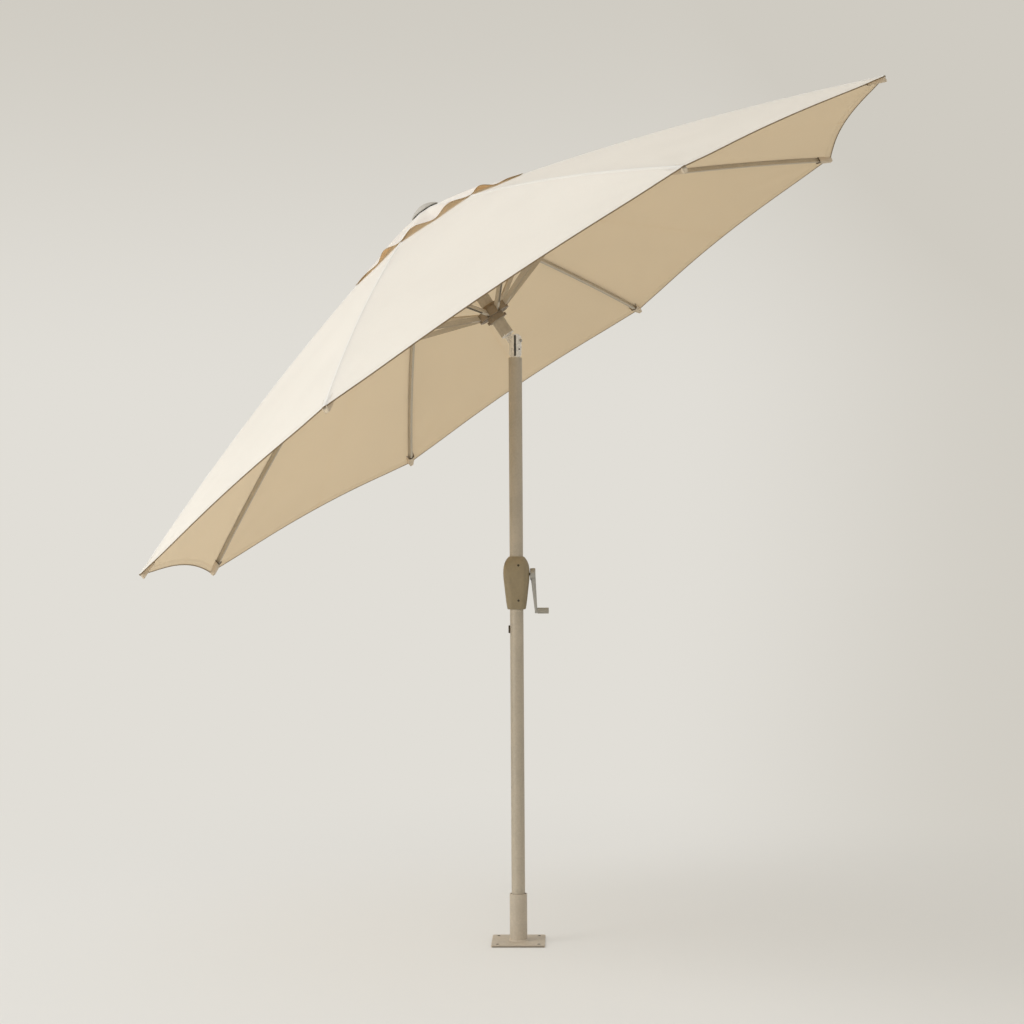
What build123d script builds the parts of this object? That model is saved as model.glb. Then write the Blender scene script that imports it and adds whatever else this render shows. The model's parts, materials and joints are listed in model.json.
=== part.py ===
from build123d import *
import os
from math import asin, atan2, cos, degrees, hypot, radians, sin

# A tilting market umbrella on a bolt-down base, in millimetres. The origin is the middle of the
# base plate's underside, +Z is up, +X points to the crank and the canopy leans towards -X.
# Canopy pieces are drawn upright about the tilt pivot, with Z along the canopy tube, and the last
# step of each one turns it by the lean.

# Running and standing clearances
fit = 0.05  # radial gap of a pin or shaft in its hole
slip = 0.3  # gap between faces that slide or swing past each other
pin_recess = 0.5  # how far a cross pin's end stays below the surface

# Pole
pole_d = 38.0
pole_wall = 1.5
pole_joint_z = 930.0  # where the lower pole ends and the upper pole begins
pole_top_z = 1646.0
coupler_wall = 1.5
coupler_below = 130.0  # length of the inner sleeve below the pole joint
coupler_above = 58.0

# Base
plate_side = 150.0
plate_t = 6.0
plate_corner_r = 5.0
plate_edge = 1.0  # chamfer round the upper face
plate_hole_inset = 17.5  # hole centre from the plate's sides
plate_hole_d = 9.0
sleeve_wall = 3.0  # plastic packing between pole and socket
sleeve_recess = 1.5  # how far the plastic sleeve sits below the socket's rim
socket_wall = 2.5
socket_h = 130.0
socket_rim_r = 0.8
weld_leg = 4.0
weld_round = 4.8

# Snap button of the pole joint
snap_below = 52.0  # button's middle below the pole joint
snap_h = 22.0
snap_w = 9.0
snap_proud = 4.5
snap_round = 1.5
snap_flange_margin = 2.0
snap_flange_t = 1.5
snap_spring_t = 0.8
snap_spring_w = 8.0
snap_spring_drop = 45.0

# Crank housing at five levels: height from the crank's axis, then how far it stands out from the
# pole along X and along Y
housing_bottom = (-99.0, 6.5, 4.0)
housing_waist = (-53.0, 13.0, 8.0)
housing_belly = (-3.0, 18.0, 12.0)
housing_shoulder = (23.0, 16.5, 12.0)
housing_top = (50.0, 2.0, 2.0)
housing_corner = 0.36  # corner radius as a share of the smaller side
housing_wall = 2.5
housing_foot_round = 3.5
styling_line_w = 1.4
styling_line_depth = 0.7
styling_points = ((-29, 39), (-25, 13), (-10, -30), (10, -65), (24, -83))  # X, height from crank
housing_screw_x = 6.0
housing_screw_rise = (-74.0, 25.0)  # heights from the crank's axis
housing_screw_d = 3.5
housing_screw_head_d = 6.5
housing_screw_head_t = 2.2
housing_screw_seat = 2.0  # head's seat outside the pole's surface
housing_screw_slot = (3.9, 1.0)
housing_boss_wall = 1.5

# Crank
crank_rise = 103.0  # crank's axis above the pole joint
crank_shaft_d = 8.0
shaft_past_pole = 4.0
shaft_cover = 2.0  # arm material over the shaft's end
drum_room = 7.5  # drum's surface inside the pole's bore
drum_end_room = 6.5  # drum's ends inside the pole's bore
drum_flange_t = 2.0
crank_boss_d = 34.0
crank_boss_w = 15.0
crank_boss_gap = 1.5  # boss clear of the housing's side
crank_boss_round = 2.5
crank_arm_length = 103.0
crank_arm_top = (14.0, 24.0)  # thickness along X and width along Y
crank_arm_end = (7.0, 15.0)
crank_arm_slant = 8.3  # how far the arm's end stands outside its top
crank_arm_round = 3.0
crank_pin_d = 3.5
knob_d = 17.0
knob_length = 32.0
knob_round = 1.5
knob_flutes = 8
knob_flute_d = 4.0
knob_flute_out = 1.0  # flute centres outside the knob's surface
knob_end_wall = 4.0
knob_pin_d = 6.0

# Tilt knuckle
tilt_deg = 33.4
pivot_rise = 34.0  # tilt pivot above the pole's top
knuckle_inset = 1.0  # knuckle's surface inside the pole's
knuckle_rise = 32.0  # top of the fork above the pivot
knuckle_corner_r = 13.0
knuckle_plug = 56.0
knuckle_slot_w = 13.0
knuckle_back_wall = 5.5
tongue_gap = 1.0  # tongue clear of the back wall
tongue_cap = 2.0  # tongue material below the cord's bore
tilt_pin_d = 8.0
tilt_pin_cover = 1.5  # knuckle wall left between the pin's seat and the front groove
knuckle_groove_w = 6.0
knuckle_groove_depth = 4.5
knuckle_groove_margin = 3.0
knuckle_rivet_d = 4.5
knuckle_rivet_x = 12.0
knuckle_rivet_drop = 11.0  # below the pivot
knuckle_rivet_seat = 3.0
knuckle_rivet_length = 4.5
knuckle_rivet_round = 1.0
cord_bore_d = 10.0
tilt_button_d = 9.0
tilt_button_azimuth = -30.0  # measured from +X towards the front
tilt_button_rise = 14.0  # above the pivot
tilt_button_pocket = 4.0
tilt_button_proud = 3.5
tilt_button_travel = 2.0
tilt_button_round = 1.2
tilt_spring_wall = 0.8

# Canopy tube, hub and finial, as heights above the tilt pivot along the tube
tube_start = 40.0
tube_plug = 50.0
shoulder_t = 3.0
shoulder_inset = 0.5
tube_notches = 6
tube_notch_d = 5.0
hub_pivot_room = 26.0  # rib pivots outside the tube's surface
hub_pivot_l = 440.0
hub_below = 12.0  # crown's underside below the rib pivots
hub_above = 6.5
hub_rim = 13.0  # crown's rim outside the rib pivots
hub_slot_depth = 13.0  # slot's end inside the rib pivots
hub_skirt = 28.0
hub_skirt_wall = 6.0
hinge_pin_d = 5.0
hub_pin_grip = 5.5  # how deep each pin end sits in the wall beside its slot
pulley_drop = 56.0  # pulley's axis below the rib pivots
pulley_d = 24.0
pulley_w = 8.0
pulley_groove = 3.0
pulley_rim = 1.5
finial_d = 88.0
finial_h = 18.0
finial_rim = (2.5, 2.0)  # inset and drop of the rim's lower edge
finial_neck_d = 40.0
finial_neck_h = 4.0
finial_neck_gap = 1.3  # neck clear of the vent flap
finial_sink = 4.5  # rim's lower edge below the neck's
finial_stud_d = 8.0
finial_stud_cover = 6.0  # finial material over the stud's end
lift_cord_d = 4.0

# Runner and struts
runner_bottom_l = 88.0
runner_sleeve_h = 50.0
runner_sleeve_wall = 6.0
runner_ring_h = 22.0
runner_ring_rim = 11.0  # ring's rim outside the strut pivots
runner_pivot_room = 17.0  # strut pivots outside the tube's surface
runner_pivot_rise = 27.0  # strut pivots above the runner's lower edge
runner_pin_grip = 4.5
runner_lug_d = 9.0
runner_lug_reach = 5.0  # lug's end outside the sleeve
strut_w = 8.0
strut_h = 14.0
strut_wall = 1.0
strut_eye_r = 6.5
strut_eye_ease = 0.2  # channel's edges inside the eye's
strut_channel_start = 35.0
strut_pin_d = 6.0
strut_pin_head_d = 9.0
strut_pin_head_t = 1.6
strut_lip_w = 4.5
strut_lip_rise = 1.0

# Ribs and canopy
rib_count = 8
canopy_r = 1250.0  # radius at the canopy's corners
rib_line_tip_l = -18.0  # the rib's centre line carried out to that radius
rib_bow = 24.0
rib_w = 8.5
rib_h = 11.5
rib_top = 9.0  # the rib's upper face above the line through its hub pivot
rib_wall = 1.0
rib_start = 20.0
rib_short = 14.0  # the rib's end lies this far inside the canopy's corner
rib_eye_r = 6.4
rib_shoe_length = 46.0
bracket_s = 455.0  # distance from the hub pivot along the rib
bracket_length = 28.0
bracket_t = 2.8
bracket_drop = 27.0
bracket_flange = 4.0
strut_pin_drop = 21.0
tip_cap_length = 8.0
tip_cap_w = 9.3
tip_cap_h = 11.0
tip_cap_corner = 2.4
tip_cap_round = 1.6
tip_plug = 20.0
plug_ease = 0.1
fabric_t = 1.2
fabric_rise = 2.8  # underside of the fabric above the rib's upper face, along the tube
flap_rise = 0.42  # underside of the vent flap above the fabric's upper side
gore_gap = 0.3
hem_scallop = 27.0  # how far each edge curves in at its middle
vent_r = 190.0
flap_r = 302.0
flap_inner_r = 14.0
flap_wave = 14.0  # height of the flap's waves on the canopy's two sides
flap_low_wave = 3.0  # and towards its upper and lower ends

# Values worked out from the ones above
pole_r = pole_d / 2
bore_r = pole_r - pole_wall
plug_r = bore_r - fit
socket_inner_r = pole_r + sleeve_wall
socket_r = socket_inner_r + socket_wall
snap_z = pole_joint_z - snap_below
crank_z = pole_joint_z + crank_rise
pivot_z = pole_top_z + pivot_rise
knuckle_d = pole_d - 2 * knuckle_inset
knuckle_r = knuckle_d / 2
tongue_r = knuckle_r - knuckle_back_wall - tongue_gap
knuckle_rivet_z = pivot_z - knuckle_rivet_drop
hub_pivot_r = pole_r + hub_pivot_room
hub_bottom_l = hub_pivot_l - hub_below
hub_top_l = hub_pivot_l + hub_above
hub_slot_w = rib_w + 2 * slip
pulley_l = hub_pivot_l - pulley_drop
runner_pivot_r = pole_r + runner_pivot_room
runner_pivot_l = runner_bottom_l + runner_pivot_rise
runner_slot_w = strut_w + 2 * slip
rib_low = rib_top - rib_h
rib_mid = rib_top - rib_h / 2
fabric_low = rib_top + fabric_rise
flap_low = fabric_low + fabric_t + flap_rise
half_gore = radians(180.0 / rib_count)
tilt_frame = Location((0, 0, pivot_z), (0, -tilt_deg, 0))
rib_azimuths = [180.0 / rib_count + 360.0 * k / rib_count for k in range(rib_count)]

os.makedirs("parts", exist_ok=True)


def save(piece, node, place=Location()):
    """Label a finished piece, put it in its place and write it under its node's name."""
    placed = piece.moved(place)
    placed.label = node
    export_step(placed, os.path.join("parts", f"{node}.step"))


def canopy_place(azimuth=0.0):
    """Place of a canopy piece drawn at azimuth 0: turned about the tube, then leaned."""
    return tilt_frame * Location((0, 0, 0), (0, 0, azimuth))


# Rib line: an arc through the hub pivot, bowed outwards, to the canopy's corner
rib_chord = hypot(canopy_r - hub_pivot_r, hub_pivot_l - rib_line_tip_l)
rib_slope = atan2(hub_pivot_l - rib_line_tip_l, canopy_r - hub_pivot_r)
rib_radius = (rib_chord**2 / 4 + rib_bow**2) / (2 * rib_bow)
rib_half_angle = asin(rib_chord / 2 / rib_radius)
rib_length = 2 * rib_radius * rib_half_angle
rib_centre_r = (hub_pivot_r + canopy_r) / 2 - sin(rib_slope) * (rib_radius - rib_bow)
rib_centre_l = (hub_pivot_l + rib_line_tip_l) / 2 - cos(rib_slope) * (rib_radius - rib_bow)


def rib_lean(s):
    """Angle of the rib line below level at distance s from the hub pivot, in radians."""
    return rib_slope + s / rib_radius - rib_half_angle


def rib_point(s, h=0.0):
    """Radius and height of the point at distance s along the rib line and h above it."""
    lean = rib_lean(s)
    reach = rib_radius + h
    return rib_centre_r + reach * sin(lean), rib_centre_l + reach * cos(lean)


def rib_height(r):
    """Height of the rib line at radius r."""
    return rib_centre_l + (rib_radius**2 - (r - rib_centre_r) ** 2) ** 0.5


def flap_wave_at(r, edge_wave):
    """Height of the vent flap's waves at radius r, growing steadily from the middle to the edge."""
    return edge_wave * r / flap_r


def flap_top(r):
    """Height of the vent flap's upper side at radius r, at the top of a wave."""
    return rib_height(r) + flap_low + fabric_t + flap_wave_at(r, flap_wave)


def rib_band(s0, s1, low, high):
    """Outline lines of the band between two distances along the rib and two heights."""
    middle = (s0 + s1) / 2
    ThreePointArc(rib_point(s0, low), rib_point(middle, low), rib_point(s1, low))
    Line(rib_point(s1, low), rib_point(s1, high))
    ThreePointArc(rib_point(s1, high), rib_point(middle, high), rib_point(s0, high))
    Line(rib_point(s0, high), rib_point(s0, low))


def rib_plane(s, h=0.0):
    """Plane across the rib at distance s, with local X sideways, local Y up and Z outwards."""
    lean = rib_lean(s)
    r, l = rib_point(s, h)
    return Plane(origin=(r, 0, l), x_dir=(0, 1, 0), z_dir=(cos(lean), 0, -sin(lean)))


# Base plate with its four bolt holes
with BuildPart() as base_plate:
    with BuildSketch():
        RectangleRounded(plate_side, plate_side, plate_corner_r)
    extrude(amount=plate_t)
    chamfer(base_plate.faces().sort_by(Axis.Z)[-1].outer_wire().edges(), plate_edge)
    hole_spacing = plate_side - 2 * plate_hole_inset
    with Locations((0, 0, plate_t)):
        with GridLocations(hole_spacing, hole_spacing, 2, 2):
            Hole(plate_hole_d / 2)
save(base_plate.part, "base_plate")

# Socket tube that stands on the plate
with BuildPart() as base_socket:
    with BuildSketch(Plane.XY.offset(plate_t)):
        Circle(socket_r)
        Circle(socket_inner_r, mode=Mode.SUBTRACT)
    extrude(amount=socket_h)
    fillet(base_socket.faces().sort_by(Axis.Z)[-1].edges(), socket_rim_r)
save(base_socket.part, "base_socket")

# Weld bead around the socket's foot
with BuildPart() as base_weld:
    with BuildSketch(Plane.XZ):
        with BuildLine():
            toe = (socket_r + weld_leg, plate_t)
            root = (socket_r, plate_t)
            head = (socket_r, plate_t + weld_leg)
            Line(toe, root)
            Line(root, head)
            RadiusArc(head, toe, weld_round)
        make_face()
    revolve(axis=Axis.Z)
save(base_weld.part, "base_weld")

# Plastic sleeve that packs the pole in the socket
with BuildPart() as socket_sleeve:
    with BuildSketch(Plane.XY.offset(plate_t)):
        Circle(socket_inner_r - fit)
        Circle(pole_r + fit, mode=Mode.SUBTRACT)
    extrude(amount=socket_h - sleeve_recess)
save(socket_sleeve.part, "socket_sleeve")

# Lower pole, with the slot that the snap button comes through
snap_plane = Plane(origin=(0, 0, snap_z), x_dir=(0, 1, 0), z_dir=(-1, 0, 0))
with BuildPart() as lower_pole:
    with BuildSketch(Plane.XY.offset(plate_t)):
        Circle(pole_r)
        Circle(bore_r, mode=Mode.SUBTRACT)
    extrude(amount=pole_joint_z - plate_t)
    with BuildSketch(snap_plane):
        SlotOverall(snap_h + 2 * slip, snap_w + 2 * slip, rotation=90)
    extrude(amount=pole_d, mode=Mode.SUBTRACT)
save(lower_pole.part, "lower_pole")

# Inner sleeve that joins the two poles
coupler_bore_r = plug_r - coupler_wall
with BuildPart() as pole_coupler:
    with BuildSketch(Plane.XY.offset(pole_joint_z - coupler_below)):
        Circle(plug_r)
        Circle(coupler_bore_r, mode=Mode.SUBTRACT)
    extrude(amount=coupler_below + coupler_above)
    with BuildSketch(snap_plane):
        SlotOverall(snap_h + 2 * slip, snap_w + 2 * slip, rotation=90)
    extrude(amount=pole_d, mode=Mode.SUBTRACT)
save(pole_coupler.part, "pole_coupler")

# Snap button: a rounded key on a flange behind the coupler's wall
flange_w = snap_w + 2 * snap_flange_margin
flange_x = (coupler_bore_r**2 - (flange_w / 2) ** 2) ** 0.5 - slip
with BuildPart() as snap_button:
    with BuildSketch(snap_plane.offset(flange_x - snap_flange_t)):
        SlotOverall(snap_h + 2 * snap_flange_margin, flange_w, rotation=90)
    extrude(amount=snap_flange_t)
    with BuildSketch(snap_plane.offset(flange_x)):
        SlotOverall(snap_h, snap_w, rotation=90)
    extrude(amount=pole_r + snap_proud - flange_x)
    fillet(snap_button.faces().sort_by(Axis.X)[0].edges(), snap_round)
save(snap_button.part, "snap_button")

# Leaf spring behind the snap button, bent round to the far wall
bend_z = snap_z - snap_spring_drop
with BuildPart() as snap_spring:
    near_x = -(flange_x - snap_flange_t) + slip + snap_spring_t / 2
    far_x = (coupler_bore_r**2 - (snap_spring_w / 2) ** 2) ** 0.5 - slip - snap_spring_t / 2
    with BuildSketch(Plane.XZ):
        with BuildLine() as leaf:
            Line((near_x, snap_z), (near_x, bend_z))
            bend_foot = ((near_x + far_x) / 2, bend_z - (far_x - near_x) / 2)
            ThreePointArc((near_x, bend_z), bend_foot, (far_x, bend_z))
            Line((far_x, bend_z), (far_x, snap_z))
        trace(leaf.line, line_width=snap_spring_t)
    extrude(amount=snap_spring_w / 2, both=True)
save(snap_spring.part, "snap_spring")

# Upper pole, drilled for the crank shaft and the housing screws
screw_places = [(housing_screw_x, crank_z + rise) for rise in housing_screw_rise]
with BuildPart() as upper_pole:
    with BuildSketch(Plane.XY.offset(pole_joint_z)):
        Circle(pole_r)
        Circle(bore_r, mode=Mode.SUBTRACT)
    extrude(amount=pole_top_z - pole_joint_z)
    with BuildSketch(Plane.YZ):
        with Locations((0, crank_z)):
            Circle(crank_shaft_d / 2 + fit)
    extrude(amount=pole_d, both=True, mode=Mode.SUBTRACT)
    with BuildSketch(Plane.XZ):
        with Locations(*screw_places):
            Circle(housing_screw_d / 2 + fit)
    extrude(amount=pole_d, mode=Mode.SUBTRACT)
save(upper_pole.part, "upper_pole")

# Crank housing: a rounded shell in two halves, parted across the pole
housing_levels = [housing_bottom, housing_waist, housing_belly, housing_shoulder, housing_top]
housing_bottom_z = crank_z + housing_bottom[0]
housing_height = housing_top[0] - housing_bottom[0]
housing_belly_w = pole_d + 2 * housing_belly[1]
housing_belly_depth = pole_d + 2 * housing_belly[2]


def housing_outlines(inset):
    """Outlines of the housing's sections with their sides drawn in by the inset."""
    outlines = []
    for rise, side_room, front_room in housing_levels:
        width = pole_d + 2 * side_room - 2 * inset
        depth = pole_d + 2 * front_room - 2 * inset
        with BuildSketch(Plane.XY.offset(crank_z + rise)) as outline:
            RectangleRounded(width, depth, housing_corner * min(width, depth))
        outlines.append(outline.sketch)
    return outlines


with BuildPart() as housing_solid:
    loft(housing_outlines(0.0))
    fillet(housing_solid.faces().sort_by(Axis.Z)[0].edges(), housing_foot_round)

with BuildPart() as housing_core:
    loft(housing_outlines(housing_wall))
    with BuildSketch(Plane.XY.offset(housing_bottom_z + housing_wall)):
        Rectangle(2 * housing_belly_w, 2 * housing_belly_depth)
    extrude(amount=housing_height - 2 * housing_wall, mode=Mode.INTERSECT)

with BuildPart() as housing_under_skin:
    loft(housing_outlines(styling_line_depth))

# Styling line across the front: an S from the upper left shoulder to the lower right side
with BuildPart() as housing_groove:
    with BuildSketch(Plane.XZ):
        with BuildLine() as styling_line:
            Spline(*[(x, crank_z + rise) for x, rise in styling_points])
        trace(styling_line.line, line_width=styling_line_w)
    extrude(amount=housing_belly_depth)
    add(housing_under_skin.part, mode=Mode.SUBTRACT)

with BuildPart() as housing:
    add(housing_solid.part)
    add(housing_core.part, mode=Mode.SUBTRACT)
    add(housing_groove.part, mode=Mode.SUBTRACT)
    with BuildSketch(Plane.XY.offset(housing_bottom_z)):
        Circle(pole_r + fit)
    extrude(amount=housing_height, mode=Mode.SUBTRACT)
    with BuildSketch(Plane.YZ):
        with Locations((0, crank_z)):
            Circle(crank_shaft_d / 2 + slip)
    extrude(amount=housing_belly_w, mode=Mode.SUBTRACT)

# Screw bosses run from the front shell's face to the pole
screw_seat = pole_r + housing_screw_seat
boss_r = housing_screw_head_d / 2 + housing_boss_wall
with BuildPart() as screw_bosses:
    with BuildSketch(Plane.XZ):
        with Locations(*screw_places):
            Circle(boss_r)
    extrude(amount=housing_belly_depth)
    add(housing_solid.part, mode=Mode.INTERSECT)
    with BuildSketch(Plane.XY.offset(housing_bottom_z)):
        Circle(pole_r + fit)
    extrude(amount=housing_height, mode=Mode.SUBTRACT)

with BuildPart() as crank_housing_front:
    add(housing.part)
    split(bisect_by=Plane.XZ, keep=Keep.TOP)
    add(screw_bosses.part)
    with BuildSketch(Plane.XZ):
        with Locations(*screw_places):
            Circle(housing_screw_d / 2 + fit)
    extrude(amount=housing_belly_depth, mode=Mode.SUBTRACT)
    with BuildSketch(Plane.XZ.offset(screw_seat)):
        with Locations(*screw_places):
            Circle(housing_screw_head_d / 2 + fit)
    extrude(amount=housing_belly_depth, mode=Mode.SUBTRACT)
save(crank_housing_front.part, "crank_housing_front")

with BuildPart() as crank_housing_rear:
    add(housing.part)
    split(bisect_by=Plane.XZ, keep=Keep.BOTTOM)
save(crank_housing_rear.part, "crank_housing_rear")

# Housing screws, driven from the front into the pole's wall
screw_tip = (bore_r**2 - (housing_screw_x - housing_screw_d / 2) ** 2) ** 0.5
with BuildPart() as housing_screws:
    with BuildSketch(Plane.XZ.offset(screw_tip)):
        with Locations(*screw_places):
            Circle(housing_screw_d / 2)
    extrude(amount=screw_seat - screw_tip)
    with BuildSketch(Plane.XZ.offset(screw_seat)):
        with Locations(*screw_places):
            Circle(housing_screw_head_d / 2)
    extrude(amount=housing_screw_head_t)
    with BuildSketch(Plane.XZ.offset(screw_seat + housing_screw_head_t / 2)):
        with Locations(*screw_places):
            Rectangle(*housing_screw_slot)
            Rectangle(*housing_screw_slot, rotation=90)
    extrude(amount=housing_screw_head_t, mode=Mode.SUBTRACT)
save(housing_screws.part, "housing_screws")

# Crank shaft with the cord drum inside the pole
crank_boss_x = housing_belly_w / 2 + crank_boss_gap
shaft_start = -(pole_r + shaft_past_pole)
shaft_end = crank_boss_x + crank_boss_w - shaft_cover
pin_x = crank_boss_x + crank_boss_w / 2
drum_r = bore_r - drum_room
drum_half = bore_r - drum_end_room
drum_flange_r = (bore_r**2 - (drum_half + drum_flange_t) ** 2) ** 0.5 - slip
with BuildPart() as crank_shaft:
    with BuildSketch(Plane.YZ.offset(shaft_start)):
        with Locations((0, crank_z)):
            Circle(crank_shaft_d / 2)
    extrude(amount=shaft_end - shaft_start)
    with BuildSketch(Plane.YZ.offset(-drum_half)):
        with Locations((0, crank_z)):
            Circle(drum_r)
    extrude(amount=2 * drum_half)
    for side in (-drum_half - drum_flange_t, drum_half):
        with BuildSketch(Plane.YZ.offset(side)):
            with Locations((0, crank_z)):
                Circle(drum_flange_r)
        extrude(amount=drum_flange_t)
    with BuildSketch(Plane.XZ):
        with Locations((pin_x, crank_z)):
            Circle(crank_pin_d / 2 + fit)
    extrude(amount=crank_shaft_d, both=True, mode=Mode.SUBTRACT)
save(crank_shaft.part, "crank_shaft")

# Crank arm: a round boss on the shaft and a tapered arm down to the grip
arm_mid_x = crank_boss_x + crank_boss_w - crank_arm_top[0] / 2
arm_end_x = arm_mid_x + crank_arm_slant
knob_z = crank_z - crank_arm_length
with BuildPart() as crank_arm:
    with BuildSketch(Plane.YZ.offset(crank_boss_x)):
        with Locations((0, crank_z)):
            Circle(crank_boss_d / 2)
    extrude(amount=crank_boss_w)
    fillet(crank_arm.edges().filter_by(GeomType.CIRCLE), crank_boss_round)
    with BuildSketch(Plane.XY.offset(crank_z)):
        with Locations((arm_mid_x, 0)):
            RectangleRounded(*crank_arm_top, crank_arm_round)
    with BuildSketch(Plane.XY.offset(knob_z)):
        with Locations((arm_end_x, 0)):
            RectangleRounded(*crank_arm_end, crank_arm_round)
    loft()
    with BuildSketch(Plane.YZ.offset(arm_end_x - crank_arm_end[0] / 2)):
        with Locations((0, knob_z)):
            Circle(crank_arm_end[1] / 2)
    extrude(amount=crank_arm_end[0])
    with BuildSketch(Plane.YZ):
        with Locations((0, crank_z)):
            Circle(crank_shaft_d / 2 + fit)
    extrude(amount=shaft_end + fit, mode=Mode.SUBTRACT)
    with BuildSketch(Plane.XZ):
        with Locations((pin_x, crank_z)):
            Circle(crank_pin_d / 2 + fit)
    extrude(amount=crank_boss_d, both=True, mode=Mode.SUBTRACT)
    with BuildSketch(Plane.YZ):
        with Locations((0, knob_z)):
            Circle(knob_pin_d / 2 + fit)
    extrude(amount=2 * arm_end_x, mode=Mode.SUBTRACT)
save(crank_arm.part, "crank_arm")

# Cross pin that holds the arm on the shaft
with BuildPart() as crank_pin:
    with BuildSketch(Plane.XZ):
        with Locations((pin_x, crank_z)):
            Circle(crank_pin_d / 2)
    extrude(amount=crank_boss_d / 2 - pin_recess, both=True)
save(crank_pin.part, "crank_pin")

# Knob pin, riveted in the arm's end
knob_start = arm_end_x + crank_arm_end[0] / 2 + slip
pin_end = knob_start + knob_length - knob_end_wall - slip
with BuildPart() as knob_pin:
    with BuildSketch(Plane.YZ.offset(arm_end_x - crank_arm_end[0] / 2)):
        with Locations((0, knob_z)):
            Circle(knob_pin_d / 2)
    extrude(amount=pin_end - arm_end_x + crank_arm_end[0] / 2)
save(knob_pin.part, "knob_pin")

# Crank knob: a fluted grip that turns on its pin
with BuildPart() as crank_knob:
    with BuildSketch(Plane.YZ.offset(knob_start)):
        with Locations((0, knob_z)):
            Circle(knob_d / 2)
    extrude(amount=knob_length)
    fillet(crank_knob.edges(), knob_round)
    with BuildSketch(Plane.YZ.offset(knob_start + knob_end_wall)):
        with Locations((0, knob_z)):
            with PolarLocations(knob_d / 2 + knob_flute_out, knob_flutes):
                Circle(knob_flute_d / 2)
    extrude(amount=knob_length - 2 * knob_end_wall, mode=Mode.SUBTRACT)
    with BuildSketch(Plane.YZ.offset(knob_start)):
        with Locations((0, knob_z)):
            Circle(knob_pin_d / 2 + fit)
    extrude(amount=knob_length - knob_end_wall, mode=Mode.SUBTRACT)
save(crank_knob.part, "crank_knob")

# Lower tilt knuckle: a plug in the pole and a fork with a closed back
fork_top = pivot_z + knuckle_rise
button_turn = radians(tilt_button_azimuth)
button_plane = Plane(
    origin=(0, 0, pivot_z + tilt_button_rise),
    x_dir=(-sin(button_turn), cos(button_turn), 0),
    z_dir=(cos(button_turn), sin(button_turn), 0),
)
groove_length = fork_top - pole_top_z - 2 * knuckle_groove_margin
pin_seat = knuckle_r - knuckle_groove_depth - tilt_pin_cover
rivet_seat = (knuckle_r**2 - knuckle_rivet_x**2) ** 0.5 - knuckle_rivet_seat
with BuildPart() as tilt_lower_knuckle:
    with BuildSketch(Plane.XY.offset(pole_top_z)):
        Circle(knuckle_r)
    extrude(amount=fork_top - pole_top_z)
    with BuildSketch(Plane.XZ):
        with Locations((0, (pole_top_z + fork_top) / 2)):
            fork_outline = Rectangle(knuckle_d, fork_top - pole_top_z)
        fillet(fork_outline.vertices().group_by(Axis.Z)[-1], knuckle_corner_r)
    extrude(amount=knuckle_d, both=True, mode=Mode.INTERSECT)
    with BuildSketch(Plane.XY.offset(pole_top_z - knuckle_plug)):
        Circle(plug_r)
    extrude(amount=knuckle_plug)
    with BuildSketch(Plane.XY.offset(pivot_z - tongue_r - 2 * slip)):
        slot_right = knuckle_r - knuckle_back_wall
        with Locations((slot_right - knuckle_d, 0)):
            Rectangle(2 * knuckle_d, knuckle_slot_w)
    extrude(amount=knuckle_d + knuckle_rise, mode=Mode.SUBTRACT)
    with BuildSketch(Plane.XZ.offset(pin_seat)):
        with Locations((0, pivot_z)):
            Circle(tilt_pin_d / 2 + fit)
    extrude(amount=-2 * knuckle_d, mode=Mode.SUBTRACT)
    with BuildSketch(Plane.XY.offset(pole_top_z - knuckle_plug)):
        Circle(cord_bore_d / 2)
    extrude(amount=knuckle_plug + knuckle_r, mode=Mode.SUBTRACT)
    with BuildSketch(Plane.XZ.offset(knuckle_r - knuckle_groove_depth)):
        with Locations((0, (pole_top_z + fork_top) / 2)):
            SlotOverall(groove_length, knuckle_groove_w, rotation=90)
    extrude(amount=knuckle_d, mode=Mode.SUBTRACT)
    with BuildSketch(button_plane.offset(knuckle_r - tilt_button_pocket)):
        Circle(tilt_button_d / 2 + fit)
    extrude(amount=knuckle_d, mode=Mode.SUBTRACT)
    with BuildSketch(Plane.XZ.offset(rivet_seat)):
        with Locations((knuckle_rivet_x, knuckle_rivet_z)):
            Circle(knuckle_rivet_d / 2 + fit)
    extrude(amount=knuckle_d, mode=Mode.SUBTRACT)
save(tilt_lower_knuckle.part, "tilt_lower_knuckle")

# Rivet in the knuckle's face
with BuildPart() as knuckle_rivet:
    with BuildSketch(Plane.XZ.offset(rivet_seat)):
        with Locations((knuckle_rivet_x, knuckle_rivet_z)):
            Circle(knuckle_rivet_d / 2)
    extrude(amount=knuckle_rivet_length)
    fillet(knuckle_rivet.faces().sort_by(Axis.Y)[0].edges(), knuckle_rivet_round)
save(knuckle_rivet.part, "knuckle_rivet")

# Tilt pin, put in from the back and seated behind the groove
with BuildPart() as tilt_pin:
    with BuildSketch(Plane.XZ.offset(pin_seat - slip)):
        with Locations((0, pivot_z)):
            Circle(tilt_pin_d / 2)
    extrude(amount=-(pin_seat - slip + knuckle_r - pin_recess))
save(tilt_pin.part, "tilt_pin")

# Tilt release button and the spring behind it
button_inner = knuckle_r - tilt_button_pocket + tilt_button_travel + slip
with BuildPart() as tilt_button:
    with BuildSketch(button_plane.offset(button_inner)):
        Circle(tilt_button_d / 2)
    extrude(amount=knuckle_r + tilt_button_proud - button_inner)
    button_axis = Axis(button_plane.origin, button_plane.z_dir)
    outer_rim = tilt_button.edges().filter_by(GeomType.CIRCLE).sort_by(button_axis)[-1]
    fillet(outer_rim, tilt_button_round)
save(tilt_button.part, "tilt_button")

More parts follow.
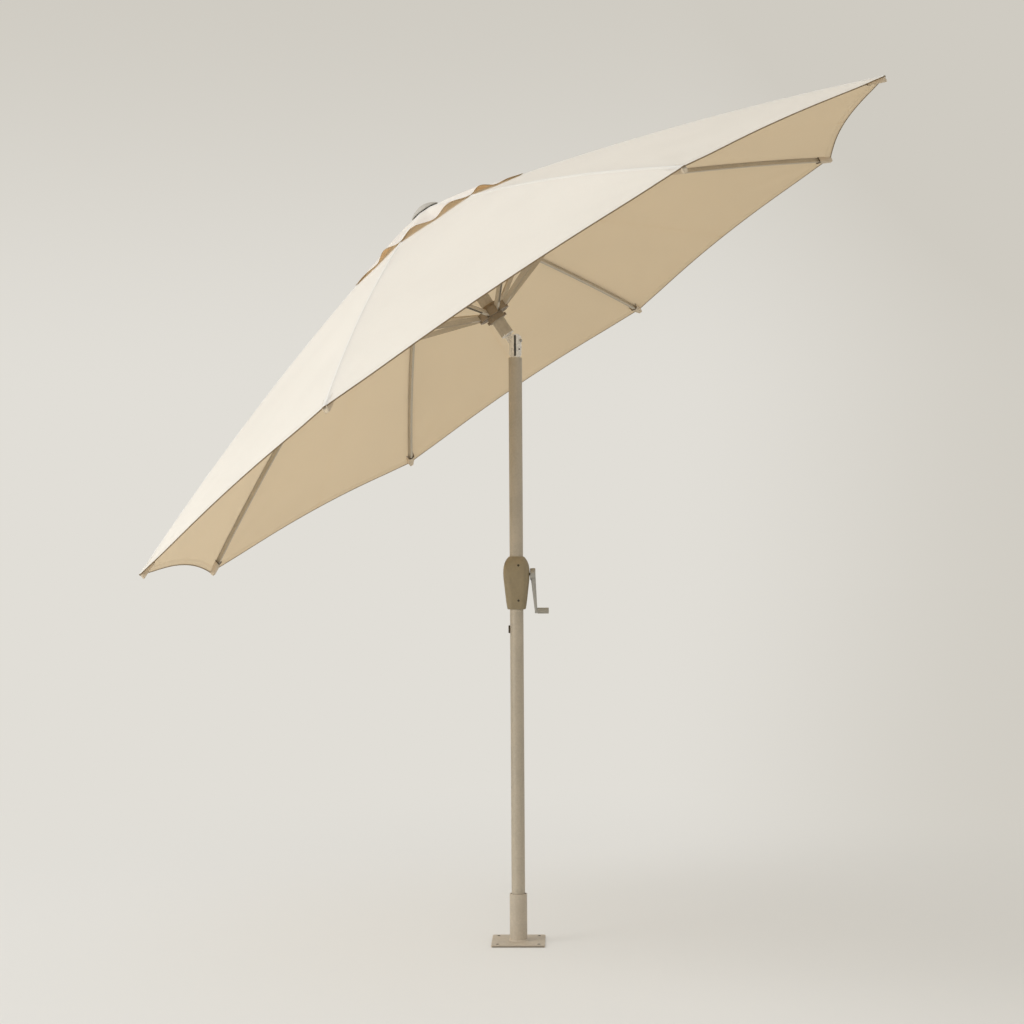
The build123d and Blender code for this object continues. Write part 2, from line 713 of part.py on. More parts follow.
with BuildPart() as tilt_button_spring:
    with BuildSketch(button_plane.offset(knuckle_r - tilt_button_pocket)):
        Circle(tilt_button_d / 4 + tilt_spring_wall)
        Circle(tilt_button_d / 4, mode=Mode.SUBTRACT)
    extrude(amount=tilt_button_travel + slip / 2)
save(tilt_button_spring.part, "tilt_button_spring")

# Upper tilt knuckle: tongue, shoulder and plug for the canopy tube
tongue_w = knuckle_slot_w - 2 * slip
with BuildPart() as tilt_upper_knuckle:
    with BuildSketch(Plane.XZ):
        Circle(tongue_r)
        with Locations((0, tube_start / 2)):
            Rectangle(2 * tongue_r - tongue_gap, tube_start)
    extrude(amount=tongue_w / 2, both=True)
    with BuildSketch(Plane.XY.offset(tube_start - shoulder_t)):
        Circle(pole_r - shoulder_inset)
    extrude(amount=shoulder_t)
    with BuildSketch(Plane.XY.offset(tube_start)):
        Circle(plug_r)
    extrude(amount=tube_plug)
    with BuildSketch(Plane.XY.offset(tongue_r + tongue_cap)):
        Circle(cord_bore_d / 2)
    extrude(amount=tube_start + tube_plug, mode=Mode.SUBTRACT)
    with BuildSketch(Plane.XZ):
        Circle(tilt_pin_d / 2 + fit)
    extrude(amount=knuckle_d, both=True, mode=Mode.SUBTRACT)
save(tilt_upper_knuckle.part, "tilt_upper_knuckle", tilt_frame)

# Canopy tube with a notched lower end and holes for the pulley's pin
with BuildPart() as canopy_tube:
    with BuildSketch(Plane.XY.offset(tube_start)):
        Circle(pole_r)
        Circle(bore_r, mode=Mode.SUBTRACT)
    extrude(amount=hub_bottom_l - tube_start)
    with BuildSketch(Plane.XZ):
        with Locations((0, pulley_l)):
            Circle(hinge_pin_d / 2 + fit)
    extrude(amount=pole_d, both=True, mode=Mode.SUBTRACT)
    for k in range(tube_notches):
        spin = 360.0 * k / tube_notches
        with BuildSketch(Plane.YZ.rotated((0, 0, spin))):
            with Locations((0, tube_start)):
                Circle(tube_notch_d / 2)
        extrude(amount=pole_d, mode=Mode.SUBTRACT)
save(canopy_tube.part, "canopy_tube", tilt_frame)

# Top hub: a slotted crown on a skirt round the tube's end
hub_slot_start = hub_pivot_r - hub_slot_depth
hub_slot_length = 2 * (hub_slot_depth + hub_rim)
with BuildPart() as top_hub:
    with BuildSketch(Plane.XY.offset(hub_bottom_l)):
        Circle(hub_pivot_r + hub_rim)
        with PolarLocations(hub_slot_start + hub_slot_length / 2, rib_count, rib_azimuths[0]):
            Rectangle(hub_slot_length, hub_slot_w, mode=Mode.SUBTRACT)
    extrude(amount=hub_top_l - hub_bottom_l)
    with BuildSketch(Plane.XY.offset(hub_bottom_l - hub_skirt)):
        Circle(pole_r + hub_skirt_wall)
        Circle(pole_r + fit, mode=Mode.SUBTRACT)
    extrude(amount=hub_skirt)
    with BuildSketch(Plane.XY.offset(hub_bottom_l)):
        Circle(finial_stud_d / 2 + fit)
    extrude(amount=hub_top_l - hub_bottom_l, mode=Mode.SUBTRACT)
    for azimuth in rib_azimuths:
        with BuildSketch(Plane.XZ.rotated((0, 0, azimuth))):
            with Locations((hub_pivot_r, hub_pivot_l)):
                Circle(hinge_pin_d / 2 + fit)
        extrude(amount=hub_slot_w / 2 + hub_pin_grip + slip, both=True, mode=Mode.SUBTRACT)
save(top_hub.part, "top_hub", tilt_frame)

# Rib hinge pins in the hub and strut hinge pins in the runner
with BuildPart() as hub_pins:
    for azimuth in rib_azimuths:
        with BuildSketch(Plane.XZ.rotated((0, 0, azimuth))):
            with Locations((hub_pivot_r, hub_pivot_l)):
                Circle(hinge_pin_d / 2)
        extrude(amount=hub_slot_w / 2 + hub_pin_grip, both=True)
save(hub_pins.part, "hub_pins", tilt_frame)

with BuildPart() as runner_pins:
    for azimuth in rib_azimuths:
        with BuildSketch(Plane.XZ.rotated((0, 0, azimuth))):
            with Locations((runner_pivot_r, runner_pivot_l)):
                Circle(hinge_pin_d / 2)
        extrude(amount=runner_slot_w / 2 + runner_pin_grip, both=True)
save(runner_pins.part, "runner_pins", tilt_frame)

# Cord pulley and its pin at the top of the tube
with BuildPart() as pulley:
    with BuildSketch(Plane.XZ.offset(-pulley_w / 2)):
        with Locations((0, pulley_l)):
            Circle(pulley_d / 2)
            Circle(hinge_pin_d / 2 + fit, mode=Mode.SUBTRACT)
    extrude(amount=pulley_w)
    with BuildSketch(Plane.XZ.offset(-pulley_w / 2 + pulley_rim)):
        with Locations((0, pulley_l)):
            Circle(pulley_d / 2)
            Circle(pulley_d / 2 - pulley_groove, mode=Mode.SUBTRACT)
    extrude(amount=pulley_w - 2 * pulley_rim, mode=Mode.SUBTRACT)
save(pulley.part, "pulley", tilt_frame)

with BuildPart() as pulley_pin:
    with BuildSketch(Plane.XZ):
        with Locations((0, pulley_l)):
            Circle(hinge_pin_d / 2)
    extrude(amount=pole_r, both=True)
save(pulley_pin.part, "pulley_pin", tilt_frame)

# Lifting cord: from the drum up to the knuckle, and from the knuckle over the pulley
cord_x = pulley_d / 2 - pulley_groove + lift_cord_d / 2 + slip / 3
cord_start_l = tube_start + tube_plug + slip
cord_end_l = runner_bottom_l + runner_sleeve_h
with BuildPart() as lift_cord_lower:
    with BuildSketch(Plane.XY.offset(crank_z)):
        with Locations((0, drum_r + lift_cord_d / 2 + slip / 3)):
            Circle(lift_cord_d / 2)
    extrude(amount=pole_top_z - knuckle_plug - slip - crank_z)
save(lift_cord_lower.part, "lift_cord_lower")

with BuildPart() as lift_cord_upper:
    with BuildLine() as cord_path:
        Line((cord_x, 0, cord_start_l), (cord_x, 0, pulley_l))
        ThreePointArc((cord_x, 0, pulley_l), (0, 0, pulley_l + cord_x), (-cord_x, 0, pulley_l))
        Line((-cord_x, 0, pulley_l), (-cord_x, 0, cord_end_l))
    with BuildSketch(Plane.XY.offset(cord_start_l)):
        with Locations((cord_x, 0)):
            Circle(lift_cord_d / 2)
    sweep(path=cord_path.line)
save(lift_cord_upper.part, "lift_cord_upper", tilt_frame)

# Finial: a low dome with a neck that clamps the vent flap, on a stud from the hub
stud_hole_r = finial_stud_d / 2 + fit
neck_r = finial_neck_d / 2
neck_edge_l = flap_top(neck_r) + finial_neck_gap
neck_hole_l = flap_top(flap_inner_r) + finial_neck_gap
finial_base_l = neck_edge_l + finial_rim[1] - finial_sink
finial_top_l = finial_base_l + finial_h
stud_end_l = finial_top_l - finial_stud_cover
dome_r = ((finial_d / 2) ** 2 + finial_h**2) / (2 * finial_h)
dome_half_angle = asin(finial_d / 2 / dome_r) / 2
with BuildPart() as finial:
    with BuildSketch(Plane.XZ):
        with BuildLine():
            crown = (0, finial_top_l)
            dome_middle_l = finial_top_l - dome_r * (1 - cos(dome_half_angle))
            dome_middle = (dome_r * sin(dome_half_angle), dome_middle_l)
            rim = (finial_d / 2, finial_base_l)
            ThreePointArc(crown, dome_middle, rim)
            Polyline(
                rim,
                (finial_d / 2 - finial_rim[0], finial_base_l - finial_rim[1]),
                (neck_r, neck_edge_l + finial_neck_h),
                (neck_r, neck_edge_l),
                (stud_hole_r, neck_hole_l),
                (stud_hole_r, stud_end_l),
                (0, stud_end_l),
                crown,
            )
        make_face()
    revolve(axis=Axis.Z)
save(finial.part, "finial", tilt_frame)

with BuildPart() as finial_stud:
    with BuildSketch(Plane.XY.offset(hub_bottom_l)):
        Circle(finial_stud_d / 2)
    extrude(amount=stud_end_l - fit - hub_bottom_l)
save(finial_stud.part, "finial_stud", tilt_frame)

# Runner: a sliding sleeve with a slotted ring for the struts and two cord lugs
ring_bottom_l = runner_pivot_l - runner_ring_h / 2
runner_sleeve_r = pole_r + runner_sleeve_wall
runner_slot_start = runner_pivot_r - strut_eye_r - slip
runner_slot_length = 2 * (strut_eye_r + slip + runner_ring_rim)
with BuildPart() as runner:
    with BuildSketch(Plane.XY.offset(runner_bottom_l)):
        Circle(runner_sleeve_r)
    extrude(amount=runner_sleeve_h)
    with BuildSketch(Plane.XY.offset(ring_bottom_l)):
        Circle(runner_pivot_r + runner_ring_rim)
        with PolarLocations(runner_slot_start + runner_slot_length / 2, rib_count, rib_azimuths[0]):
            Rectangle(runner_slot_length, runner_slot_w, mode=Mode.SUBTRACT)
    extrude(amount=runner_ring_h)
    with BuildSketch(Plane.YZ):
        with Locations((0, runner_bottom_l + runner_lug_d / 2)):
            Circle(runner_lug_d / 2)
    extrude(amount=runner_sleeve_r + runner_lug_reach, both=True)
    with BuildSketch(Plane.XY.offset(runner_bottom_l)):
        Circle(pole_r + slip)
    extrude(amount=runner_sleeve_h, mode=Mode.SUBTRACT)
    for azimuth in rib_azimuths:
        with BuildSketch(Plane.XZ.rotated((0, 0, azimuth))):
            with Locations((runner_pivot_r, runner_pivot_l)):
                Circle(hinge_pin_d / 2 + fit)
        pin_hole = runner_slot_w / 2 + runner_pin_grip + slip
        extrude(amount=pin_hole, both=True, mode=Mode.SUBTRACT)
save(runner.part, "runner", tilt_frame)

# Rib: a bowed box tube, its hub shoe, its strut bracket with pin, and its tip cap
rib_end = rib_length - rib_short
rib_bore_h = rib_h - 2 * rib_wall
rib_shoe_w = rib_w - 2 * rib_wall - 2 * plug_ease
with BuildPart() as rib_tube:
    with BuildSketch(Plane.XZ):
        with BuildLine():
            rib_band(rib_start, rib_end, rib_low, rib_top)
        make_face()
    extrude(amount=rib_w / 2, both=True)
    with BuildSketch(Plane.XZ):
        with BuildLine():
            rib_band(rib_start, rib_end, rib_low + rib_wall, rib_top - rib_wall)
        make_face()
    extrude(amount=rib_w / 2 - rib_wall, both=True, mode=Mode.SUBTRACT)

with BuildPart() as rib_shoe:
    with BuildSketch(Plane.XZ):
        with BuildLine():
            rib_band(0, rib_start - slip, -rib_eye_r, rib_eye_r)
        make_face()
        with Locations((hub_pivot_r, hub_pivot_l)):
            Circle(rib_eye_r)
            Circle(hinge_pin_d / 2 + fit, mode=Mode.SUBTRACT)
    extrude(amount=rib_shoe_w / 2, both=True)
    with BuildSketch(Plane.XZ):
        with BuildLine():
            rib_band(rib_start - rib_wall, rib_shoe_length, rib_low + rib_wall + fit, rib_top - rib_wall - fit)
        make_face()
    extrude(amount=rib_shoe_w / 2, both=True)

cheek_x = rib_w / 2 + slip + bracket_t / 2
cheek_face = cheek_x + bracket_t / 2 + fit
with BuildPart() as strut_bracket:
    with BuildSketch(rib_plane(bracket_s - bracket_length / 2)):
        for side in (-cheek_x, cheek_x):
            with Locations((side, (bracket_flange - bracket_drop) / 2)):
                Rectangle(bracket_t, bracket_flange + bracket_drop)
        with Locations((0, rib_low - slip - bracket_t / 2)):
            Rectangle(2 * cheek_x, bracket_t)
    extrude(amount=bracket_length)
    with BuildSketch(Plane.XZ):
        with Locations(rib_point(bracket_s, -strut_pin_drop)):
            Circle(strut_pin_d / 2 + fit)
    extrude(amount=rib_w, both=True, mode=Mode.SUBTRACT)

with BuildPart() as strut_pin:
    with BuildSketch(Plane.XZ):
        with Locations(rib_point(bracket_s, -strut_pin_drop)):
            Circle(strut_pin_d / 2)
    extrude(amount=cheek_face, both=True)
    for side in (-cheek_face - strut_pin_head_t, cheek_face):
        with BuildSketch(Plane.XZ.offset(side)):
            with Locations(rib_point(bracket_s, -strut_pin_drop)):
                Circle(strut_pin_head_d / 2)
        extrude(amount=strut_pin_head_t)

with BuildPart() as rib_cap:
    with BuildSketch(rib_plane(rib_end)):
        with Locations((0, rib_mid)):
            RectangleRounded(tip_cap_w, tip_cap_h, tip_cap_corner)
    extrude(amount=tip_cap_length)
    fillet(rib_cap.faces().sort_by(Axis.X)[-1].edges(), tip_cap_round)
    with BuildSketch(rib_plane(rib_end - tip_plug)):
        with Locations((0, rib_mid)):
            Rectangle(rib_shoe_w, rib_bore_h - 2 * plug_ease)
    extrude(amount=tip_plug)

rib_pieces = [rib_tube, rib_shoe, strut_bracket, strut_pin, rib_cap]
rib = Compound([piece.part.solid() for piece in rib_pieces])

# Strut: a channel from its eye in the runner to a cradle that holds the rib's pin from below
pin_r, pin_l = rib_point(bracket_s, -strut_pin_drop)
strut_length = hypot(pin_r - runner_pivot_r, pin_l - runner_pivot_l)
strut_rise = atan2(pin_l - runner_pivot_l, pin_r - runner_pivot_r)
strut_plane = Plane(
    origin=(runner_pivot_r, 0, runner_pivot_l),
    x_dir=(cos(strut_rise), 0, sin(strut_rise)),
    z_dir=(0, -1, 0),
)
cradle_y = -strut_pin_d / 2 - slip
lip_x = strut_length + strut_pin_d / 2 + slip
bar_end_x = lip_x + strut_lip_w
eye_half = strut_eye_r - strut_eye_ease


def strut_top(x):
    """Height of the strut's upper edge above the line from its eye to the rib's pin."""
    return eye_half + (cradle_y - eye_half) * x / strut_length


with BuildPart() as strut:
    with BuildSketch(strut_plane):
        Circle(strut_eye_r)
        with BuildLine():
            Polyline(
                (0, -eye_half),
                (strut_h, strut_top(strut_h) - strut_h),
                (bar_end_x, cradle_y - strut_h),
                (bar_end_x, strut_lip_rise),
                (lip_x, strut_lip_rise),
                (lip_x, cradle_y),
                (strut_length, cradle_y),
                (0, eye_half),
                close=True,
            )
        make_face()
        Circle(hinge_pin_d / 2 + fit, mode=Mode.SUBTRACT)
    extrude(amount=strut_w / 2, both=True)
    channel_end = strut_length - strut_h
    with BuildSketch(strut_plane):
        with BuildLine():
            Polyline(
                (strut_channel_start, strut_top(strut_channel_start) - strut_wall),
                (channel_end, strut_top(channel_end) - strut_wall),
                (channel_end, strut_top(channel_end) - 2 * strut_h),
                (strut_channel_start, strut_top(strut_channel_start) - 2 * strut_h),
                close=True,
            )
        make_face()
    extrude(amount=strut_w / 2 - strut_wall, both=True, mode=Mode.SUBTRACT)

# Canopy: half gores on both sides of each rib, each rolled along the gore's middle line and
# level across it, with a scalloped hem, and a waved vent flap above the opening at the top
gore_cos = cos(half_gore)
hem_mid_r = canopy_r * gore_cos - hem_scallop
gore_plane = Plane(
    origin=(0, 0, 0),
    x_dir=(cos(half_gore), sin(half_gore), 0),
    z_dir=(sin(half_gore), -cos(half_gore), 0),
)


def gore_arc(r0, r1, lift):
    """Arc of the gore's middle line between two rib radii, raised by the lift."""
    middle = (r0 + r1) / 2
    ends = [(r * gore_cos, rib_height(r) + lift) for r in (r0, middle, r1)]
    ThreePointArc(*ends)
    return ends


with BuildPart() as half_panel:
    with BuildSketch(gore_plane):
        with BuildLine():
            lower = gore_arc(vent_r, canopy_r, fabric_low)
            upper = gore_arc(vent_r, canopy_r, fabric_low + fabric_t)
            Line(lower[0], upper[0])
            Line(lower[2], upper[2])
        make_face()
    extrude(amount=canopy_r * sin(half_gore) + gore_gap)
    with BuildSketch(Plane.XY.offset(rib_line_tip_l - rib_bow)):
        with BuildLine():
            inner_wall = gore_gap / 2 / sin(half_gore)
            corner_a = (canopy_r, 0)
            corner_b = (canopy_r * cos(2 * half_gore), canopy_r * sin(2 * half_gore))
            middle = (hem_mid_r * cos(half_gore), hem_mid_r * sin(half_gore))
            ThreePointArc(corner_a, middle, corner_b)
            Line(corner_b, (inner_wall, 0))
            Line((inner_wall, 0), corner_a)
        make_face()
    extrude(amount=2 * hub_pivot_l, mode=Mode.INTERSECT)
    split(bisect_by=gore_plane.offset(gore_gap / 2), keep=Keep.TOP)


def flap_section(r, edge_wave):
    """Thin arched outline across half a gore, from its middle line to the rib."""
    wave = flap_wave_at(r, edge_wave)
    span = r * sin(half_gore)
    low = rib_height(r) + flap_low
    start = gore_gap / 2
    crown = (start + span) / 2
    section_plane = Plane(
        origin=(r * gore_cos * cos(half_gore), r * gore_cos * sin(half_gore), 0),
        x_dir=(sin(half_gore), -cos(half_gore), 0),
        z_dir=(-cos(half_gore), -sin(half_gore), 0),
    )
    with BuildSketch(section_plane) as section:
        with BuildLine():
            ThreePointArc((start, low), (crown, low + wave), (span, low))
            Line((span, low), (span, low + fabric_t))
            high = low + fabric_t
            ThreePointArc((span, high), (crown, high + wave), (start, high))
            Line((start, high), (start, low))
        make_face()
    return section.sketch


def canopy_panel(edge_wave):
    """Fabric over one rib: two half gores and their share of the vent flap with waves of this height."""
    with BuildPart() as half_flap:
        loft([flap_section(r, edge_wave) for r in (flap_inner_r, flap_r)], ruled=True)
    half_pieces = [half_panel.part.solid(), half_flap.part.solid()]
    return Compound(half_pieces + [piece.mirror(Plane.XZ) for piece in half_pieces])


side_panel = canopy_panel(flap_wave)
end_panel = canopy_panel(flap_low_wave)

for number, azimuth in enumerate(rib_azimuths, start=1):
    place = canopy_place(azimuth)
    save(rib, f"rib_{number}", place)
    save(strut.part, f"strut_{number}", place)
    towards_end = abs(cos(radians(azimuth))) > cos(radians(45))
    save(end_panel if towards_end else side_panel, f"canopy_panel_{number}", place)

print(f"rib length {rib_length:.1f}, slope {degrees(rib_slope):.2f}, strut {strut_length:.1f}")
print(f"strut rise {degrees(strut_rise):.2f}, pin at {pin_r:.1f}, {pin_l:.1f}")
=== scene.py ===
import json
import math

import bmesh
import bpy
import numpy as np
from bpy.props import FloatProperty, FloatVectorProperty, IntProperty, PointerProperty
from mathutils import Matrix, Vector


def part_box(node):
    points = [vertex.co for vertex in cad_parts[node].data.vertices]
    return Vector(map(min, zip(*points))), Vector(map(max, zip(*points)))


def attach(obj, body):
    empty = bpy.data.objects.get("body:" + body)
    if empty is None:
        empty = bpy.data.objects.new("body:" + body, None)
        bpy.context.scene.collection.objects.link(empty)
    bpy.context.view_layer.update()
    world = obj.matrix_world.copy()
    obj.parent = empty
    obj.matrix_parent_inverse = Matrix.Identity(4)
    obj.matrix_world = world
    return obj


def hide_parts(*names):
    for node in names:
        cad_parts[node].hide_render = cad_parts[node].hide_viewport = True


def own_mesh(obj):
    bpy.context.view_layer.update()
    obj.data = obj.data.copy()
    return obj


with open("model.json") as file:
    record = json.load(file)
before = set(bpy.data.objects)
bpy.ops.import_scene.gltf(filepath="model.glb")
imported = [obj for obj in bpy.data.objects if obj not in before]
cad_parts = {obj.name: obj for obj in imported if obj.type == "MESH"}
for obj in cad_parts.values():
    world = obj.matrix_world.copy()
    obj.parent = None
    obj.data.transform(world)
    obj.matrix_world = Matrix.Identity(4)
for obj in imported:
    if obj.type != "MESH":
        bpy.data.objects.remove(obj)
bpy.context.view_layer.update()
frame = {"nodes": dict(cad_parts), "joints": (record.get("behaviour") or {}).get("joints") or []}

bl_info = {
    "name": "Tilting market umbrella",
    "version": (1, 0, 0),
    "blender": (4, 5, 0),
    "location": "3D View > Sidebar > Umbrella",
    "description": "Cloth, finishes and stage of a tilting market umbrella on a bolt-down base",
    "category": "Object",
}

JOINTS = {joint["name"]: joint for joint in frame["joints"]}
RIBS = 8
HALF_GORE = math.pi / RIBS
PIVOT = np.array(JOINTS["canopy_tilt"]["pos_m"])
LEAN = math.radians(-JOINTS["canopy_tilt"]["range_deg"][0])
TURN = np.array([
    [math.cos(LEAN), 0, -math.sin(LEAN)],
    [0, 1, 0],
    [math.sin(LEAN), 0, math.cos(LEAN)],
])
ABOVE_RIB, BELOW_RIB = 0, 1  # material numbers of a sheet's two sides
BOLT_PLACE = 0.0575  # the base plate's bolt holes from its two middle lines
BOLT_HOLE_R = 0.0045
KNUCKLE_R = 0.018
GROOVE_HALF_W = 0.003  # the groove down the tilt joint's front
GROOVE_DEPTH = 0.0045

# How much of a face lets light through: canopy's top, undersides of canopy and flap, pockets, flap's top
OUTER_SHARE = 0.35
INNER_SHARE = 0.8
POCKET_SHARE = 0.2
FLAP_SHARE = 0.27

# Grids of the cloth, as numbers of rows and columns and as shares of the seam's and the hem's width
CLOTH_COLUMNS = 30
CLOTH_ROWS = 64
SEAM_COLUMNS = (0, 0.5, 0.8, 0.95, 1.1, 1.5)
HEM_ROWS = (1.1, 1.0, 0.92, 0.5, 0.12, 0.0)
SEAM_EDGE = 0.8
HEM_EDGE = 0.92
SEAM_RISE = 0.0010  # how far seam and hem stand proud of the cloth
HEM_RISE = 0.0005
HEM_DROP = 0.0012
FALL_PLACE = 0.8  # where the rib's fall is taken for the hem's width, as a share of the radius
FOLD_HEIGHT = 0.0016  # small folds that fan out from the corners
FOLD_REACH = 0.30
FOLDS_ROUND = 15
FOLD_START = (0.02, 0.16)
FOLD_FROM_SEAM = 0.05
DRAW_HEIGHT = 0.0012  # slow draws of the cloth along the gore
DRAWS_ALONG = 9
DRAW_SLANT = 2
DRAW_PEAK = 4  # brings the peak of s^2 (1 - s^2) to 1

# The vent flap
FLAP_COLUMNS = 32
FLAP_ROWS = 40
FLAP_HEM = 0.6  # its hem's width as a share of the canopy's
FLAP_HEM_EDGE = 0.55
FLAP_HEM_ROWS = (1.1, 1.0, 0.9, 0.5, 0.15, 0.0)
FLAP_HEM_RISE = 0.0004
FLAP_HEM_DROP = 0.0003
FLAP_CLEAR = 0.0010  # further over the canopy beyond the vent
FLAP_CLEAR_START = (0.06, 0.14)
LIFT_START = (0.030, 0.042)
LIFT_END = (0.12, 0.06)
WAVE_START = (0.05, 0.12)
WAVE_SKEW = 0.85

# The pockets of the ribs' ends
POCKET_COLUMNS = 41
POCKET_ROWS = 20
POCKET_END_ROWS = 14
POCKET_END = 0.9  # where the end begins to close, as a share of the length
POCKET_END_ROUND = 2.5
POCKET_HALF_W = 0.0075
POCKET_FLARE = 0.006
POCKET_FLARE_START = 0.3
POCKET_FLAT = 0.72
POCKET_DEPTH = 0.0142
POCKET_WALL = 0.0010
POCKET_TONGUE = 0.007  # how far the mouth curves in at its middle
POCKET_SHORT = 0.003  # its end inside the canopy's corner

# Rows of stitches, as distances from the hem's edge or the rib's middle
HEM_STITCHES = 0.016
SEAM_STITCHES = 0.0048
FLAP_STITCHES = 0.0085
POCKET_STITCHES = 0.006
STITCH_PITCH = 0.0042
STITCH_BAND = (0.0006, 0.0003)  # where a row's stitches and its furrow fade out and are full
FURROW_BAND = (0.0022, 0.0003)
EDGE_BAND = (0.0045, 0.0015)  # where the painted shade at the hem's edge fades out and is full
SEAM_BAND = (0.0055, 0.0075)  # where the seam's double cloth ends
SEAM_PASS = 0.55  # how much of the light still passes there

# Each spring's CAD node, with the piece that stands for it and the joint that presses it
SPRINGS = {
    "snap_spring": ("snap_leaf", "snap_button_press"),
    "tilt_button_spring": ("tilt_ring", "tilt_button_press"),
}
MERGE_DISTANCE = 0.000001
SHARP_ANGLE = math.radians(35)

# The stage
KEY_PLACE = (-7.5, -2.8, 7.0)
KEY_AIM = (0, 0, 1.3)
FILL_PLACE = (-5.0, -3.3, 1.2)
FILL_AIM = (0, 0, 0.8)
FLOOR_RINGS = (0.0002, 0.01, 0.03, 0.1, 0.3, 1.0)
FLOOR_DROP = 0.0004
NEAR_FADE = 0.45  # how much of the background's colour glows on the floor near the object, painted light over its shadow
VIEW_DISTANCE = 5.0  # about the camera's distance from the object
DARKER_RIGHT = (0.05, 0.26, 0.0, 0.9)  # painted shade: where the backdrop darkens to the right, away from the light, and by how much
DARKER_ABOVE = (0.08, 0.32)  # painted shade: where it darkens upwards
AMBIENT_TINT = (1.0, 0.985, 0.96, 1)
SENSOR_WIDTH = 36.0
FAR_CLIP = 200.0


def fold_joint(rib):
    """Name of the joint that folds this rib; the first rib leads the others."""
    return "canopy_fold" if rib == 1 else f"rib_{rib}_fold"


def leaned(points):
    """Points of the upright canopy frame, turned by the lean and set on the tilt pivot."""
    return points @ TURN.T + PIVOT


def upright(points):
    """Points of the leaning canopy, turned back into its upright frame about the tilt pivot."""
    return (np.asarray(points) - PIVOT) @ TURN


HUB_POINT = upright(JOINTS["canopy_fold"]["pos_m"])
HUB_R = math.hypot(HUB_POINT[0], HUB_POINT[1])
HUB_L = HUB_POINT[2]


def tone(red, green, blue):
    """A colour written as it looks on a screen, 0 to 255, as the linear values that shaders take."""
    share = np.array([red, green, blue]) / 255
    linear = np.where(share <= 0.04045, share / 12.92, ((share + 0.055) / 1.055) ** 2.4)
    return tuple(float(value) for value in linear)


DUST_TONE = tone(214, 205, 188)
DUST_AMOUNT = 0.35
EDGE_SHADE = 0.62  # painted shade on the base plate's cut edges: how dark they are drawn
FRAME_PAINTED_LIGHT = 1.15  # painted light: ribs and struts have the poles' coating, drawn this much lighter for the light under the canopy
PLASTIC_GRAIN = 1100.0  # pimples per metre of moulded plastic
BRUSH_SCALE = (1900, 1900, 60)  # scratches per metre
STREAK_FINE = 900.0  # streaks of the threads, per metre across and along them
STREAK_LONG = 40.0
BRAID_ROUND = 3.0  # the lift cord's braid: waves round it, and radians per metre along it
BRAID_ALONG = 1400.0
CLOTH_BUMP = 0.0006  # heights of the surfaces' relief
COAT_BUMP = 0.0003
CORD_BUMP = 0.0005


def length(name, description, default):
    """A property for a length in metres."""
    return FloatProperty(name=name, description=description, default=default, unit="LENGTH",
                         precision=4)


def colour(name, description, default):
    """A property for a colour."""
    return FloatVectorProperty(name=name, description=description, default=default, size=3,
                               subtype="COLOR", min=0, max=1)


def angle(name, description, degrees):
    """A property for an angle."""
    return FloatProperty(name=name, description=description, default=math.radians(degrees),
                         subtype="ANGLE")


def power(name, description, default):
    """A property for a lamp's power."""
    return FloatProperty(name=name, description=description, default=default, unit="POWER")


class UmbrellaCanopy(bpy.types.PropertyGroup):
    """Sizes of the cloth."""

    corner_radius: length("Corner radius", "Radius at the canopy's eight corners", 1.250)
    tip_level: length("Corner level", "Rib line's height over the tilt pivot at the corners", -0.018)
    rib_bow: length("Rib bow", "How far each rib rises over the line between its ends", 0.024)
    cloth_rise: length("Cloth rise", "Cloth's underside over the rib line, along the tube", 0.0118)
    cloth_thickness: length("Cloth thickness", "Thickness of the canopy and the vent flap", 0.0012)
    hem_scallop: length("Scallop", "How far each edge curves in at its middle", 0.027)
    hem_width: length("Hem width", "Depth of the turned hem", 0.018)
    seam_width: length("Seam half width", "Half the width of the felled seam over each rib", 0.0065)
    slack: length("Slack", "How far the cloth dips between ribs", 0.005)
    vent_radius: length("Vent radius", "Radius of the opening under the vent flap", 0.190)
    flap_radius: length("Flap radius", "Radius of the vent flap's corners", 0.302)
    flap_start: length("Flap start", "Radius at which the flap begins, under the finial", 0.031)
    flap_gap: length("Flap gap", "Vent flap over the canopy where they are sewn", 0.0004)
    flap_lift: length("Flap lift", "How much higher the flap passes over the hub's rim", 0.0022)
    flap_wave: length("Flap wave", "Height of the flap's waves on the canopy's two sides", 0.014)
    flap_low_wave: length("Low flap wave", "Height of its waves at the upper and lower ends", 0.003)
    pocket_length: length("Pocket length", "Length of the pocket that takes each rib's end", 0.050)


